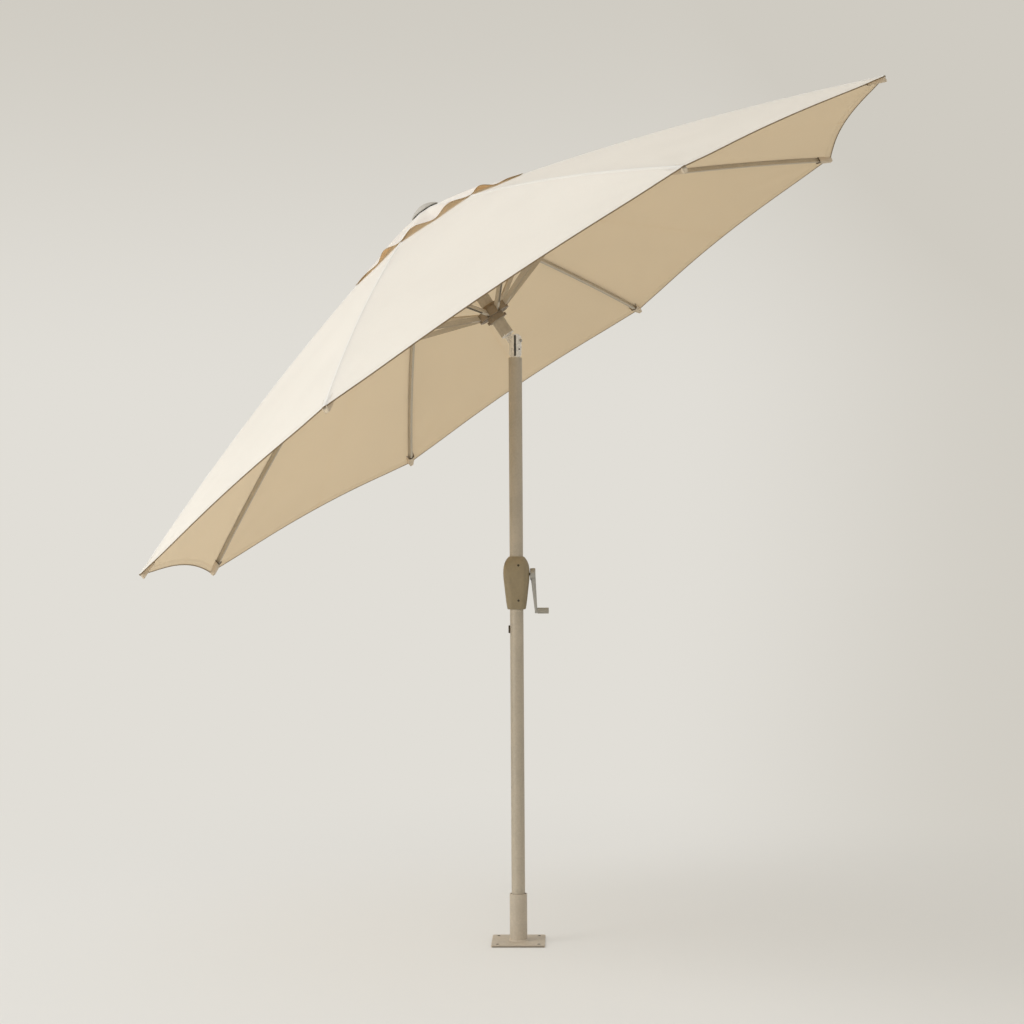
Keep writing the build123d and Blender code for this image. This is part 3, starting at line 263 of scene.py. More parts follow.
class UmbrellaColours(bpy.types.PropertyGroup):
    """Colours of the cloth and the frame."""

    cloth_outside: colour("Cloth outside", "Ivory face of the canopy", tone(247, 245, 239))
    # The underside is the same cloth as the outside; its darker, warmer tan is painted shade and warm
    # light under the canopy.
    cloth_inside: colour("Cloth inside", "Warm face of the canopy's underside", tone(229, 212, 186))
    # The flap's underside is the same cloth too; its orange-tan is painted warm light glowing through
    # the flap.
    flap_inside: colour("Flap inside", "Underside of the vent flap", tone(246, 217, 168))
    outside_glow: colour("Outside glow", "Light that passes the outer face", tone(252, 250, 245))
    inside_glow: colour("Inside glow", "Light that passes the inner face", tone(247, 234, 212))
    flap_glow: colour("Flap glow", "Light that passes the flap's inner face", tone(252, 229, 192))
    thread: colour("Thread", "Stitches of the canopy", tone(206, 193, 168))
    # painted shade of the hem's fold, laid along the hem's edge
    edge_shade: colour("Binding", "Worn edge of the hem", tone(150, 132, 106))
    # painted shadow in the pockets' mouths, where the ribs' ends go in
    pocket_mouth_shade: colour("Pocket mouth", "Dark binding of the pockets' mouths", tone(74, 50, 28))
    pole: colour("Pole", "Champagne coating of the poles, ribs and struts", tone(180, 169, 150))
    base: colour("Base", "Paler coating of the base", tone(187, 175, 156))
    housing: colour("Housing", "Olive plastic of the crank housing", tone(146, 131, 101))
    hub: colour("Hub", "Brown plastic of the hub and the runner", tone(140, 122, 97))
    finial: colour("Finial", "Grey plastic of the finial", tone(184, 180, 171))
    grip: colour("Grip", "Plastic of the crank's grip", tone(158, 153, 140))
    sleeve: colour("Sleeve", "Dark plastic of the inner sleeves and the pulley", tone(62, 57, 50))
    knuckle: colour("Knuckle", "Bright cast metal of the tilt joint", tone(234, 230, 222))
    crank: colour("Crank", "Grey cast metal of the crank", tone(176, 173, 165))
    # The housing's screws take this dark colour as painted shade of their screw holes.
    dark_steel: colour("Dark steel", "Blackened steel of springs, catch and screws", tone(88, 80, 70))
    pin_steel: colour("Pin steel", "Plain steel of the pins and the tilt button", tone(176, 173, 168))
    cord: colour("Cord", "Braided lift cord", tone(217, 210, 196))


class UmbrellaStage(bpy.types.PropertyGroup):
    """Floor, background, lights and camera."""

    floor: colour("Floor", "Matte floor", tone(232, 231, 227))
    backdrop_low: colour("Backdrop low", "Background at the horizon", tone(225, 222, 215))
    backdrop_high: colour("Backdrop high", "Background high above the floor", tone(207, 203, 194))
    floor_radius: length("Floor radius", "Radius of the floor", 60.0)
    fade_start: length("Fade start", "Where the floor begins to fade into the background", 0.3)
    fade_end: length("Fade end", "Where the floor has the background's colour", 3.5)
    ambient: FloatProperty(name="Ambient", description="Even light from all round", default=0.70,
                           min=0)
    key_power: power("Key power", "Soft lamp at upper left", 315)
    fill_power: power("Fill power", "Weak low lamp at the left", 70)
    key_size: length("Key size", "Side of the soft lamp", 4.0)
    fill_size: length("Fill size", "Side of the weak lamp", 2.0)
    lens: FloatProperty(name="Lens", description="Focal length", default=64.52,
                        subtype="DISTANCE_CAMERA")
    eye: FloatVectorProperty(name="Eye", description="The camera's place", size=3,
                             subtype="TRANSLATION", unit="LENGTH", default=(0.1242, -5.1855, 1.074))
    heading: angle("Heading", "Turn of the view to the left of +Y", 1.5)
    pitch: angle("Pitch", "Rise of the view over the horizon", 1.49)
    roll: angle("Roll", "Turn of the picture about its middle", 0.34)
    floor_segments: IntProperty(name="Floor segments", description="Sides of the floor's edge",
                                default=96, min=12)


def smooth_step(low, high, values):
    """0 below low, 1 above high and 3s^2 - 2s^3 between them; low may be the larger one."""
    share = np.clip((values - low) / (high - low), 0, 1)
    return share * share * (3 - 2 * share)


def rib_height(canopy, radius):
    """Height of the ribs' line: an arc from hub pivot to corner, rib_bow high over its chord."""
    run = canopy.corner_radius - HUB_R
    fall = HUB_L - canopy.tip_level
    chord = math.hypot(run, fall)
    slope = math.atan2(fall, run)
    arc_r = (chord ** 2 / 4 + canopy.rib_bow ** 2) / (2 * canopy.rib_bow)
    middle_r = HUB_R + run / 2 - math.sin(slope) * (arc_r - canopy.rib_bow)
    middle_l = HUB_L - fall / 2 - math.cos(slope) * (arc_r - canopy.rib_bow)
    return middle_l + np.sqrt(arc_r ** 2 - (radius - middle_r) ** 2)


def rib_fall(canopy, radius):
    """How steeply the rib line falls at this radius, as an angle."""
    step = 0.001
    return math.atan2(rib_height(canopy, radius - step) - rib_height(canopy, radius + step), 2 * step)


def hem_distance_out(canopy, slope, offset):
    """Where the column t = slope * rho - offset meets the hem's arc, as a distance along mid-gore.

    The arc runs through both corners and dips by the scallop, so its circle's middle lies outside
    the canopy, and the smaller root of (rho - middle)^2 + t^2 = radius^2 is the hem.
    """
    half_side = canopy.corner_radius * math.sin(HALF_GORE)
    arc_r = (half_side ** 2 + canopy.hem_scallop ** 2) / (2 * canopy.hem_scallop)
    middle = canopy.corner_radius * math.cos(HALF_GORE) - canopy.hem_scallop + arc_r
    a = 1 + slope ** 2
    b = middle + slope * offset
    c = middle ** 2 + offset ** 2 - arc_r ** 2
    return (b - np.sqrt(b ** 2 - a * c)) / a


def gore_columns(seam, count):
    """Side, slope and offset of the columns of one sheet, from mid-gore to mid-gore across a rib.

    A column is the line t = slope * rho - offset, where rho runs out along the middle of the gore
    and t is the distance from that middle. Columns beside the rib keep a fixed distance from it, to
    carry the seam, and the others share the rest evenly.
    """
    spread = math.tan(HALF_GORE)
    beside = seam * np.array(SEAM_COLUMNS)
    shares = np.linspace(0, 1, count + 1)[1:]
    slope = np.concatenate([np.full(len(beside), spread), (1 - shares) * spread])
    offset = np.concatenate([beside, (1 - shares) * beside[-1]])
    side = np.concatenate([-np.ones(len(slope) - 1), np.ones(len(slope))])
    return side, np.concatenate([slope[:0:-1], slope]), np.concatenate([offset[:0:-1], offset])


def gore_place(rho, t, side):
    """X and Y about the rib, which runs along X, with mid-gore turned from it by half a gore."""
    x = rho * math.cos(HALF_GORE) + t * math.sin(HALF_GORE)
    y = side * (rho * math.sin(HALF_GORE) - t * math.cos(HALF_GORE))
    return x, y


def grid_quads(rows, columns):
    """Corners of a grid's quads, which face up where rows run outwards and columns run round."""
    first = (np.arange(rows - 1)[:, None] * columns + np.arange(columns - 1)).ravel()
    return np.stack([first, first + columns, first + columns + 1, first + 1], axis=1)


def closed_sheet(top, bottom):
    """Points, quads, material numbers and marked edge points of a closed shell between two grids.

    The upper grid faces up and the lower one down. A strip of quads with the lower side's material
    joins them round the edge.
    """
    rows, columns = top.shape[:2]
    numbers = np.arange(rows * columns).reshape(rows, columns)
    edge = np.concatenate([numbers[0, :-1], numbers[:-1, -1],
                           numbers[-1, :0:-1], numbers[:0:-1, 0]])
    after = np.roll(edge, -1)
    count = rows * columns
    upper = grid_quads(rows, columns)
    lower = upper[:, ::-1] + count
    rim = np.stack([edge, after, after + count, edge + count], axis=1)
    points = np.concatenate([top.reshape(-1, 3), bottom.reshape(-1, 3)])
    sides = np.repeat([ABOVE_RIB, BELOW_RIB], [len(upper), len(lower) + len(rim)])
    rims = np.zeros(2 * count, bool)
    rims[np.concatenate([edge, edge + count])] = True
    return points, np.concatenate([upper, lower, rim]), sides, rims


def place_mesh(name, points, quads, materials, sides, rims, uv=None, attributes=None):
    """A new object at the origin with this mesh and its UV map, point attributes and materials.

    The mesh is smooth, with sharp edges between points that are marked in rims.
    """
    mesh = bpy.data.meshes.new(name)
    mesh.from_pydata(points.tolist(), [], quads.tolist())
    mesh.polygons.foreach_set("material_index", np.asarray(sides, np.int32))
    mesh.polygons.foreach_set("use_smooth", np.ones(len(quads), bool))
    ends = np.empty(2 * len(mesh.edges), np.int32)
    mesh.edges.foreach_get("vertices", ends)
    mesh.edges.foreach_set("use_edge_sharp", rims[ends.reshape(-1, 2)].all(axis=1))
    if uv is not None:
        corners = np.empty(len(mesh.loops), np.int32)
        mesh.loops.foreach_get("vertex_index", corners)
        layer = mesh.uv_layers.new(name="cloth")
        layer.data.foreach_set("uv", np.asarray(uv, np.float32)[corners].ravel())
    for title, values in (attributes or {}).items():
        layer = mesh.attributes.new(title, "FLOAT", "POINT")
        layer.data.foreach_set("value", np.asarray(values, np.float32))
    for material in materials:
        mesh.materials.append(material)
    if mesh.validate(verbose=False):
        raise RuntimeError(f"the mesh of {name} has faults")
    made = bpy.data.objects.new(name, mesh)
    bpy.context.scene.collection.objects.link(made)
    return made


def rib_azimuth(rib):
    """The rib's direction round the canopy tube."""
    x, y, _ = upright(JOINTS[fold_joint(rib)]["pos_m"])
    return math.atan2(y, x)


def at_rib(rib, points):
    """Points drawn about a rib along X, turned to that rib's place on the leaning canopy."""
    azimuth = rib_azimuth(rib)
    about = np.array([
        [math.cos(azimuth), -math.sin(azimuth), 0],
        [math.sin(azimuth), math.cos(azimuth), 0],
        [0, 0, 1],
    ])
    return leaned(points @ about.T)


def gather(piece, rib):
    """The piece rides on its rib, with a mesh of its own."""
    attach(piece, f"rib_{rib}")
    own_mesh(piece)


def sheet_area(points, quads, side_quads):
    """Area of the sheet's upper side: half the cross product of each quad's diagonals, added up."""
    corners = points[quads[:side_quads]]
    cross = np.cross(corners[:, 2] - corners[:, 0], corners[:, 3] - corners[:, 1])
    return float(np.linalg.norm(cross, axis=1).sum() / 2)


def canopy_grids(canopy):
    """Grids of the cloth over one rib, its UV map and its distances from hem and seam.

    Rows run from the vent to the hem and columns from mid-gore to mid-gore. The height is the rib
    line's at the same distance along mid-gore, so the cloth is straight across from rib to rib, less
    a dip of slack, and pulls into small folds that fan out from the corner. The seam over the rib and
    the turned hem are thicker.
    """
    side, slope, offset = gore_columns(canopy.seam_width, CLOTH_COLUMNS)
    hem = hem_distance_out(canopy, slope, offset)
    steps = canopy.hem_width * np.array(HEM_ROWS)
    start = canopy.vent_radius * math.cos(HALF_GORE)
    shares = np.linspace(0, 1, CLOTH_ROWS)[:-1, None]
    rho = np.concatenate([start + (hem - steps[0] - start) * shares, hem - steps[:, None]])
    t = slope * rho - offset
    x, y = gore_place(rho, t, side)
    across = t / (rho * math.tan(HALF_GORE))
    along = (rho - start) / (hem - start)
    from_seam = np.abs(y)
    from_hem = (hem - rho) / math.cos(rib_fall(canopy, canopy.corner_radius * FALL_PLACE))
    between = 1 - across ** 2
    dip = canopy.slack * between * np.sin(np.pi * along)
    to_corner = np.hypot(canopy.corner_radius - x, y)
    fan = np.arctan2(y, canopy.corner_radius - x)
    folds = FOLD_HEIGHT * np.exp(-to_corner / FOLD_REACH) * np.cos(FOLDS_ROUND * fan)
    folds = folds * smooth_step(*FOLD_START, to_corner) * smooth_step(0, FOLD_FROM_SEAM, from_seam)
    draws = DRAW_HEIGHT * np.sin(DRAWS_ALONG * np.pi * along + DRAW_SLANT * across)
    draws = draws * between * across ** 2 * DRAW_PEAK * along
    line = rib_height(canopy, rho / math.cos(HALF_GORE))
    height = line + canopy.cloth_rise - dip + folds + draws
    in_seam = smooth_step(canopy.seam_width, canopy.seam_width * SEAM_EDGE, from_seam)
    in_hem = smooth_step(canopy.hem_width, canopy.hem_width * HEM_EDGE, hem - rho)
    proud = SEAM_RISE * in_seam + HEM_RISE * in_hem
    top = np.stack([x, y, height + canopy.cloth_thickness + proud], axis=-1)
    bottom = np.stack([x, y, height - HEM_DROP * in_hem], axis=-1)
    return top, bottom, np.stack([t, from_hem], axis=-1), from_hem, from_seam


def flap_grids(canopy, edge_wave):
    """Grids of the vent flap over one rib, its UV map and its distances from hem and seam.

    The flap lies on the canopy along ribs and mid-gores, and between them rises in a wave
    edge_wave * (radius share) * sin(pi * s^WAVE_SKEW)^2, where s runs round from one sewn line to
    the next. Near the finial it is lifted, to pass over the hub's rim.
    """
    shares = np.linspace(0, 1, FLAP_COLUMNS + 1)
    side = np.concatenate([-np.ones(FLAP_COLUMNS), np.ones(FLAP_COLUMNS + 1)])
    across = np.concatenate([1 - shares[:0:-1], 1 - shares])
    hem = canopy.hem_width * FLAP_HEM
    steps = hem * np.array(FLAP_HEM_ROWS)
    start = canopy.flap_start * math.cos(HALF_GORE)
    end = canopy.flap_radius * math.cos(HALF_GORE)
    inner = np.linspace(start, end - steps[0], FLAP_ROWS)[:-1]
    rho = np.concatenate([inner, end - steps])[:, None]
    t = across * rho * math.tan(HALF_GORE)
    x, y = gore_place(rho, t, side)
    way = np.where(side > 0, 1 - across, across)
    rise = smooth_step(*WAVE_START, rho) * rho / end
    wave = edge_wave * rise * np.sin(np.pi * way ** WAVE_SKEW) ** 2
    lift = canopy.flap_lift * smooth_step(*LIFT_START, rho) * smooth_step(*LIFT_END, rho)
    clear = FLAP_CLEAR * smooth_step(*FLAP_CLEAR_START, rho)
    line = rib_height(canopy, rho / math.cos(HALF_GORE))
    height = line + canopy.cloth_rise + canopy.cloth_thickness + canopy.flap_gap + clear + lift + wave
    from_hem = (end - rho) + 0 * t
    in_hem = smooth_step(hem, canopy.hem_width * FLAP_HEM_EDGE, from_hem)
    top = np.stack([x, y, height + canopy.cloth_thickness + FLAP_HEM_RISE * in_hem], axis=-1)
    bottom = np.stack([x, y, height - FLAP_HEM_DROP * in_hem], axis=-1)
    return top, bottom, np.stack([t, from_hem], axis=-1), from_hem, np.abs(y)


def pocket_grids(canopy):
    """Grids of the pocket for a rib's end, its UV map and its distances from mouth and middle.

    Across it, the cloth leaves the canopy's underside, drops round the rib's sides and passes below
    it; towards the corner it narrows and rises to close over the rib's end.
    """
    span = canopy.pocket_length
    out = np.concatenate([np.linspace(0, POCKET_END, POCKET_ROWS),
                          np.linspace(POCKET_END, 1, POCKET_END_ROWS)[1:]])[:, None]
    sway = np.linspace(-1, 1, POCKET_COLUMNS)
    y = sway * (POCKET_HALF_W + POCKET_FLARE * (1 - smooth_step(POCKET_FLARE_START, 1, out)))
    radius = canopy.corner_radius - span + (span - POCKET_SHORT) * out
    radius = radius + POCKET_TONGUE * (1 - np.abs(sway)) ** 2 * (1 - out)
    closing = np.clip((out - POCKET_END) / (1 - POCKET_END), 0, 1) ** POCKET_END_ROUND
    depth = POCKET_DEPTH * np.sqrt(np.clip(1 - closing, 0, 1))
    underside = rib_height(canopy, radius) + canopy.cloth_rise - HEM_DROP
    height = underside - depth * smooth_step(1.0, POCKET_FLAT, np.abs(sway))
    top = np.stack([radius, y, height], axis=-1)
    bottom = np.stack([radius, y, height - POCKET_WALL], axis=-1)
    from_mouth = span * out + 0 * y
    return top, bottom, np.stack([y, from_mouth], axis=-1), from_mouth, np.abs(y)


def make_sheet(name, grids, materials, rib):
    """One closed sheet on a rib, and the area of its upper side."""
    top, bottom, uv, from_hem, from_seam = grids
    points, quads, sides, rims = closed_sheet(top, bottom)
    attributes = {
        "from_hem": np.tile(from_hem.ravel(), 2),
        "from_seam": np.tile(from_seam.ravel(), 2),
    }
    piece = place_mesh(f"{name}_{rib}", at_rib(rib, points), quads, materials, sides, rims,
                       np.tile(uv.reshape(-1, 2), (2, 1)), attributes)
    rows, columns = top.shape[:2]
    return piece, sheet_area(points, quads, (rows - 1) * (columns - 1))


def add_node(tree, kind, **settings):
    """A new shader node with these properties."""
    made = tree.nodes.new("ShaderNode" + kind)
    for key, value in settings.items():
        setattr(made, key, value)
    return made


def feed(tree, socket, value):
    """Links a socket to an input, or sets the input's value."""
    if isinstance(value, bpy.types.NodeSocket):
        tree.links.new(value, socket)
    else:
        socket.default_value = value


def calc(tree, operation, first, second=0.0):
    """A math node on sockets or numbers."""
    made = add_node(tree, "Math", operation=operation)
    feed(tree, made.inputs[0], first)
    feed(tree, made.inputs[1], second)
    return made.outputs[0]


def times(tree, first, second):
    """The product of two sockets or numbers."""
    return calc(tree, "MULTIPLY", first, second)


def plus(tree, first, second):
    """The sum of two sockets or numbers."""
    return calc(tree, "ADD", first, second)


def minus(tree, first, second):
    """The first socket or number less the second."""
    return calc(tree, "SUBTRACT", first, second)


def size_of(tree, value):
    """A value without its sign."""
    return calc(tree, "ABSOLUTE", value)


def least(tree, first, second):
    """The smaller of two sockets or numbers."""
    return calc(tree, "MINIMUM", first, second)


def most(tree, first, second):
    """The larger of two sockets or numbers."""
    return calc(tree, "MAXIMUM", first, second)


def remap(tree, value, low, high, to_low=0.0, to_high=1.0):
    """The value's smooth step from low to high, scaled to another range."""
    made = add_node(tree, "MapRange", interpolation_type="SMOOTHSTEP")
    feed(tree, made.inputs["Value"], value)
    ends = {"From Min": low, "From Max": high, "To Min": to_low, "To Max": to_high}
    for title, number in ends.items():
        feed(tree, made.inputs[title], number)
    return made.outputs["Result"]


def noise(tree, place, scale, detail=2.0):
    """Noise from 0 to 1 at this scale, in cells per metre."""
    made = add_node(tree, "TexNoise")
    feed(tree, made.inputs["Vector"], place)
    feed(tree, made.inputs["Scale"], scale)
    feed(tree, made.inputs["Detail"], detail)
    return made.outputs["Fac"]


def stretch(tree, place, scale):
    """The place with each axis scaled."""
    made = add_node(tree, "Mapping")
    feed(tree, made.inputs["Vector"], place)
    feed(tree, made.inputs["Scale"], scale)
    return made.outputs["Vector"]


def blend_colour(tree, share, first, second):
    """The first colour where share is 0 and the second where it is 1."""
    made = add_node(tree, "Mix", data_type="RGBA")
    feed(tree, made.inputs[0], share)
    feed(tree, made.inputs[6], first)
    feed(tree, made.inputs[7], second)
    return made.outputs[2]


def object_place(tree):
    """The point in the object's own frame."""
    return add_node(tree, "TexCoord").outputs["Object"]


def axes_of(tree, place):
    """X, Y and Z of a place."""
    made = add_node(tree, "SeparateXYZ")
    feed(tree, made.inputs[0], place)
    return made.outputs[0], made.outputs[1], made.outputs[2]


def start_group(name, inputs, outputs):
    """A new node group of float sockets, with its input and output nodes."""
    tree = bpy.data.node_groups.new(name, "ShaderNodeTree")
    for title, default in inputs.items():
        socket = tree.interface.new_socket(title, in_out="INPUT", socket_type="NodeSocketFloat")
        socket.default_value = default
    for title in outputs:
        tree.interface.new_socket(title, in_out="OUTPUT", socket_type="NodeSocketFloat")
    return tree, tree.nodes.new("NodeGroupInput"), tree.nodes.new("NodeGroupOutput")


def use_group(tree, name, **values):
    """The group placed in a material; values are its inputs."""
    made = tree.nodes.new("ShaderNodeGroup")
    made.node_tree = bpy.data.node_groups[name]
    for title, value in values.items():
        feed(tree, made.inputs[title], value)
    return made.outputs


def coat_grain_group():
    """Fine pimples of a sprayed or moulded surface, and slow changes of tone and gloss."""
    tree, source, sink = start_group("coat_grain", {"Grain": 1500.0, "Cloud": 14.0},
                                     ["Height", "Tone", "Gloss"])
    place = object_place(tree)
    fine = noise(tree, place, source.outputs["Grain"], 1.0)
    middle = noise(tree, place, times(tree, source.outputs["Grain"], 0.13), 2.0)
    cloud = noise(tree, place, source.outputs["Cloud"], 3.0)
    feed(tree, sink.inputs["Height"], plus(tree, fine, times(tree, middle, 0.6)))
    mixed = plus(tree, times(tree, middle, 0.45), times(tree, cloud, 0.55))
    feed(tree, sink.inputs["Tone"], remap(tree, mixed, 0.32, 0.68))
    feed(tree, sink.inputs["Gloss"], remap(tree, cloud, 0.35, 0.65))


def settled_dust_group():
    """Thin dust on faces that look up, in loose patches."""
    tree, source, sink = start_group("settled_dust", {"Amount": 0.5}, ["Dust"])
    _, _, up = axes_of(tree, add_node(tree, "NewGeometry").outputs["Normal"])
    patch = remap(tree, noise(tree, object_place(tree), 60.0, 3.0), 0.3, 0.75)
    facing = remap(tree, up, 0.35, 0.95)
    dust = times(tree, times(tree, facing, patch), source.outputs["Amount"])
    feed(tree, sink.inputs["Dust"], dust)


def edge_wear_group():
    """Rubbed spots along an edge: a band of this width that noise breaks up."""
    tree, source, sink = start_group("edge_wear", {"Distance": 1.0, "Width": 0.002}, ["Wear"])
    ragged = noise(tree, object_place(tree), 420.0, 3.0)
    reach = times(tree, source.outputs["Width"], remap(tree, ragged, 0.4, 0.7, 0.15, 1.4))
    share = calc(tree, "DIVIDE", source.outputs["Distance"], most(tree, reach, 0.00001))
    feed(tree, sink.inputs["Wear"], remap(tree, share, 1.0, 0.5))


def brushed_group():
    """Short scratches along Z and a slow change of gloss."""
    tree, source, sink = start_group("brushed", {"Fineness": 1.0}, ["Height", "Gloss"])
    place = object_place(tree)
    lines = noise(tree, stretch(tree, place, BRUSH_SCALE), source.outputs["Fineness"], 3.0)
    feed(tree, sink.inputs["Height"], lines)
    slow = noise(tree, place, 70.0, 2.0)
    feed(tree, sink.inputs["Gloss"], plus(tree, times(tree, lines, 0.6), times(tree, slow, 0.4)))


def streaks(tree, along, across, along_scale, across_scale):
    """Noise on the cloth's UV map that is drawn out along one set of threads."""
    place = add_node(tree, "CombineXYZ")
    feed(tree, place.inputs[0], times(tree, along, along_scale))
    feed(tree, place.inputs[1], times(tree, across, across_scale))
    return noise(tree, place.outputs[0], 1.0, 2.0)


def cloth_weave_group():
    """Plain weave on the cloth's UV map: two sets of round threads, over and under by turns."""
    tree, source, sink = start_group("cloth_weave", {"Threads": 1250.0}, ["Height", "Tone"])
    along, across, _ = axes_of(tree, add_node(tree, "UVMap", uv_map="cloth").outputs["UV"])
    first = times(tree, along, source.outputs["Threads"])
    second = times(tree, across, source.outputs["Threads"])
    round_first = size_of(tree, calc(tree, "SINE", times(tree, first, math.pi)))
    round_second = size_of(tree, calc(tree, "SINE", times(tree, second, math.pi)))
    cells = plus(tree, calc(tree, "FLOOR", first), calc(tree, "FLOOR", second))
    turn = calc(tree, "PINGPONG", cells, 1.0)
    over = times(tree, round_first, turn)
    under = times(tree, round_second, minus(tree, 1.0, turn))
    feed(tree, sink.inputs["Height"], plus(tree, over, under))
    slub = streaks(tree, along, across, STREAK_FINE, STREAK_LONG)
    weft = streaks(tree, along, across, STREAK_LONG, STREAK_FINE)
    cloud = noise(tree, object_place(tree), 3.2, 3.0)
    mixed = plus(tree, times(tree, plus(tree, slub, weft), 0.3), times(tree, cloud, 0.4))
    feed(tree, sink.inputs["Tone"], remap(tree, mixed, 0.34, 0.66))


def stitch_row_group():
    """A row of stitches at a distance from an edge, with the furrow that it pulls in."""
    inputs = {"Distance": 1.0, "Row": HEM_STITCHES, "Along": 0.0, "Pitch": STITCH_PITCH}
    tree, source, sink = start_group("stitch_row", inputs, ["Stitch", "Furrow"])
    off = size_of(tree, minus(tree, source.outputs["Distance"], source.outputs["Row"]))
    stitches = calc(tree, "DIVIDE", source.outputs["Along"], source.outputs["Pitch"])
    cycle = calc(tree, "FRACT", stitches)
    dash = remap(tree, size_of(tree, minus(tree, cycle, 0.5)), 0.42, 0.36)
    feed(tree, sink.inputs["Stitch"], times(tree, remap(tree, off, *STITCH_BAND), dash))
    feed(tree, sink.inputs["Furrow"], remap(tree, off, *FURROW_BAND))


def attribute(tree, title):
    """A point attribute of the mesh as a value."""
    return add_node(tree, "Attribute", attribute_name=title).outputs["Fac"]


def start_material(name, roughness=0.5, metallic=0.0, specular=0.5):
    """A new material with its node tree and Principled shader."""
    material = bpy.data.materials.new(name)
    material.use_nodes = True
    shader = material.node_tree.nodes["Principled BSDF"]
    shader.inputs["Roughness"].default_value = roughness
    shader.inputs["Metallic"].default_value = metallic
    shader.inputs["Specular IOR Level"].default_value = specular
    return material, material.node_tree, shader


def shaded(values, factor):
    """A colour made darker or lighter, with its alpha."""
    return (*(min(1.0, value * factor) for value in values), 1.0)


def bump(tree, shader, height, strength, distance):
    """The surface relief of a shader."""
    made = add_node(tree, "Bump")
    made.inputs["Strength"].default_value = strength
    made.inputs["Distance"].default_value = distance
    feed(tree, made.inputs["Height"], height)
    feed(tree, shader.inputs["Normal"], made.outputs["Normal"])


def cloth_material(name, face, glow, through, colours, hem_row=HEM_STITCHES, edge_dark=0.55,
                   furrow_shade=0.5, edge=None):
    """Woven cloth with stitched hem and seams, painted shade along the hem's edge and a soft sheen.

    The share through of the face lets light pass, in the colour glow. hem_row is the hem's row of
    stitches, furrow_shade how much painted shade darkens the furrows and edge_dark how much of the
    colour edge, painted shade, shows at the hem's edge; without edge it is the shade colour set for hem
    edges.
    """
    material, tree, shader = start_material(name, roughness=0.86, specular=0.25)
    shader.inputs["Sheen Weight"].default_value = 0.12
    shader.inputs["Sheen Roughness"].default_value = 0.5
    weave = use_group(tree, "cloth_weave")
    from_hem = attribute(tree, "from_hem")
    from_seam = attribute(tree, "from_seam")
    along, _, _ = axes_of(tree, add_node(tree, "UVMap", uv_map="cloth").outputs["UV"])
    hem = use_group(tree, "stitch_row", Distance=from_hem, Row=hem_row, Along=along)
    seam = use_group(tree, "stitch_row", Distance=from_seam, Row=SEAM_STITCHES, Along=from_hem)
    colour_now = blend_colour(tree, weave["Tone"], shaded(face, 0.955), shaded(face, 1.02))
    furrow = most(tree, hem["Furrow"], seam["Furrow"])
    # painted shade in the furrows that the stitches pull in
    colour_now = blend_colour(tree, times(tree, furrow, furrow_shade), colour_now, shaded(face, 0.62))
    stitch = most(tree, hem["Stitch"], seam["Stitch"])
    colour_now = blend_colour(tree, times(tree, stitch, 0.6), colour_now, (*colours.thread, 1))
    # painted shade along the hem's edge, in the colour and in the light that passes
    edge_shade_share = times(tree, remap(tree, from_hem, *EDGE_BAND), edge_dark)
    edge = (*(edge or colours.edge_shade), 1)
    colour_now = blend_colour(tree, edge_shade_share, colour_now, edge)
    feed(tree, shader.inputs["Base Color"], colour_now)
    relief = plus(tree, times(tree, weave["Height"], 0.35), times(tree, stitch, 0.8))
    relief = minus(tree, relief, times(tree, furrow, 0.7))
    bump(tree, shader, relief, 0.5, CLOTH_BUMP)
    passing = add_node(tree, "BsdfTranslucent")
    feed(tree, passing.inputs["Color"], blend_colour(tree, edge_shade_share, (*glow, 1), edge))
    mixed = add_node(tree, "MixShader")
    feed(tree, mixed.inputs[0], remap(tree, from_seam, *SEAM_BAND, SEAM_PASS * through, through))
    feed(tree, mixed.inputs[1], shader.outputs["BSDF"])
    feed(tree, mixed.inputs[2], passing.outputs["BSDF"])
    feed(tree, tree.nodes["Material Output"].inputs["Surface"], mixed.outputs["Shader"])
    return material


def coated_material(name, face, wear_distance=None, wear_width=0.002, grain=1500.0, roughness=0.44,
                    metal=0.0, relief=0.18, painted_shade=None):
    """Sprayed metal or moulded plastic: fine pimples, slow changes of tone, dust and rubbed edges.

    wear_distance is a function of the tree that gives the distance from an edge in metres, and the
    function for painted shade gives 1 in the holes, grooves and edges that it darkens.
    """
    material, tree, shader = start_material(name, roughness, metal)
    skin = use_group(tree, "coat_grain", Grain=grain)
    colour_now = blend_colour(tree, skin["Tone"], shaded(face, 0.90), shaded(face, 1.06))
    fall = use_group(tree, "settled_dust", Amount=DUST_AMOUNT)
    colour_now = blend_colour(tree, fall["Dust"], colour_now, (*DUST_TONE, 1))
    rough = plus(tree, roughness - 0.06, times(tree, skin["Gloss"], 0.12))
    rough = plus(tree, rough, times(tree, fall["Dust"], 0.3))
    if wear_distance:
        worn = use_group(tree, "edge_wear", Distance=wear_distance(tree), Width=wear_width)
        rubbed = times(tree, worn["Wear"], 0.6)
        colour_now = blend_colour(tree, rubbed, colour_now, shaded(face, 1.35))
    # painted shade: holes, grooves and cut edges darkened in the colour
    if painted_shade:
        colour_now = blend_colour(tree, painted_shade(tree), colour_now, shaded(face, 0.12))
    feed(tree, shader.inputs["Base Color"], colour_now)
    feed(tree, shader.inputs["Roughness"], rough)
    bump(tree, shader, skin["Height"], relief, COAT_BUMP)
    return material


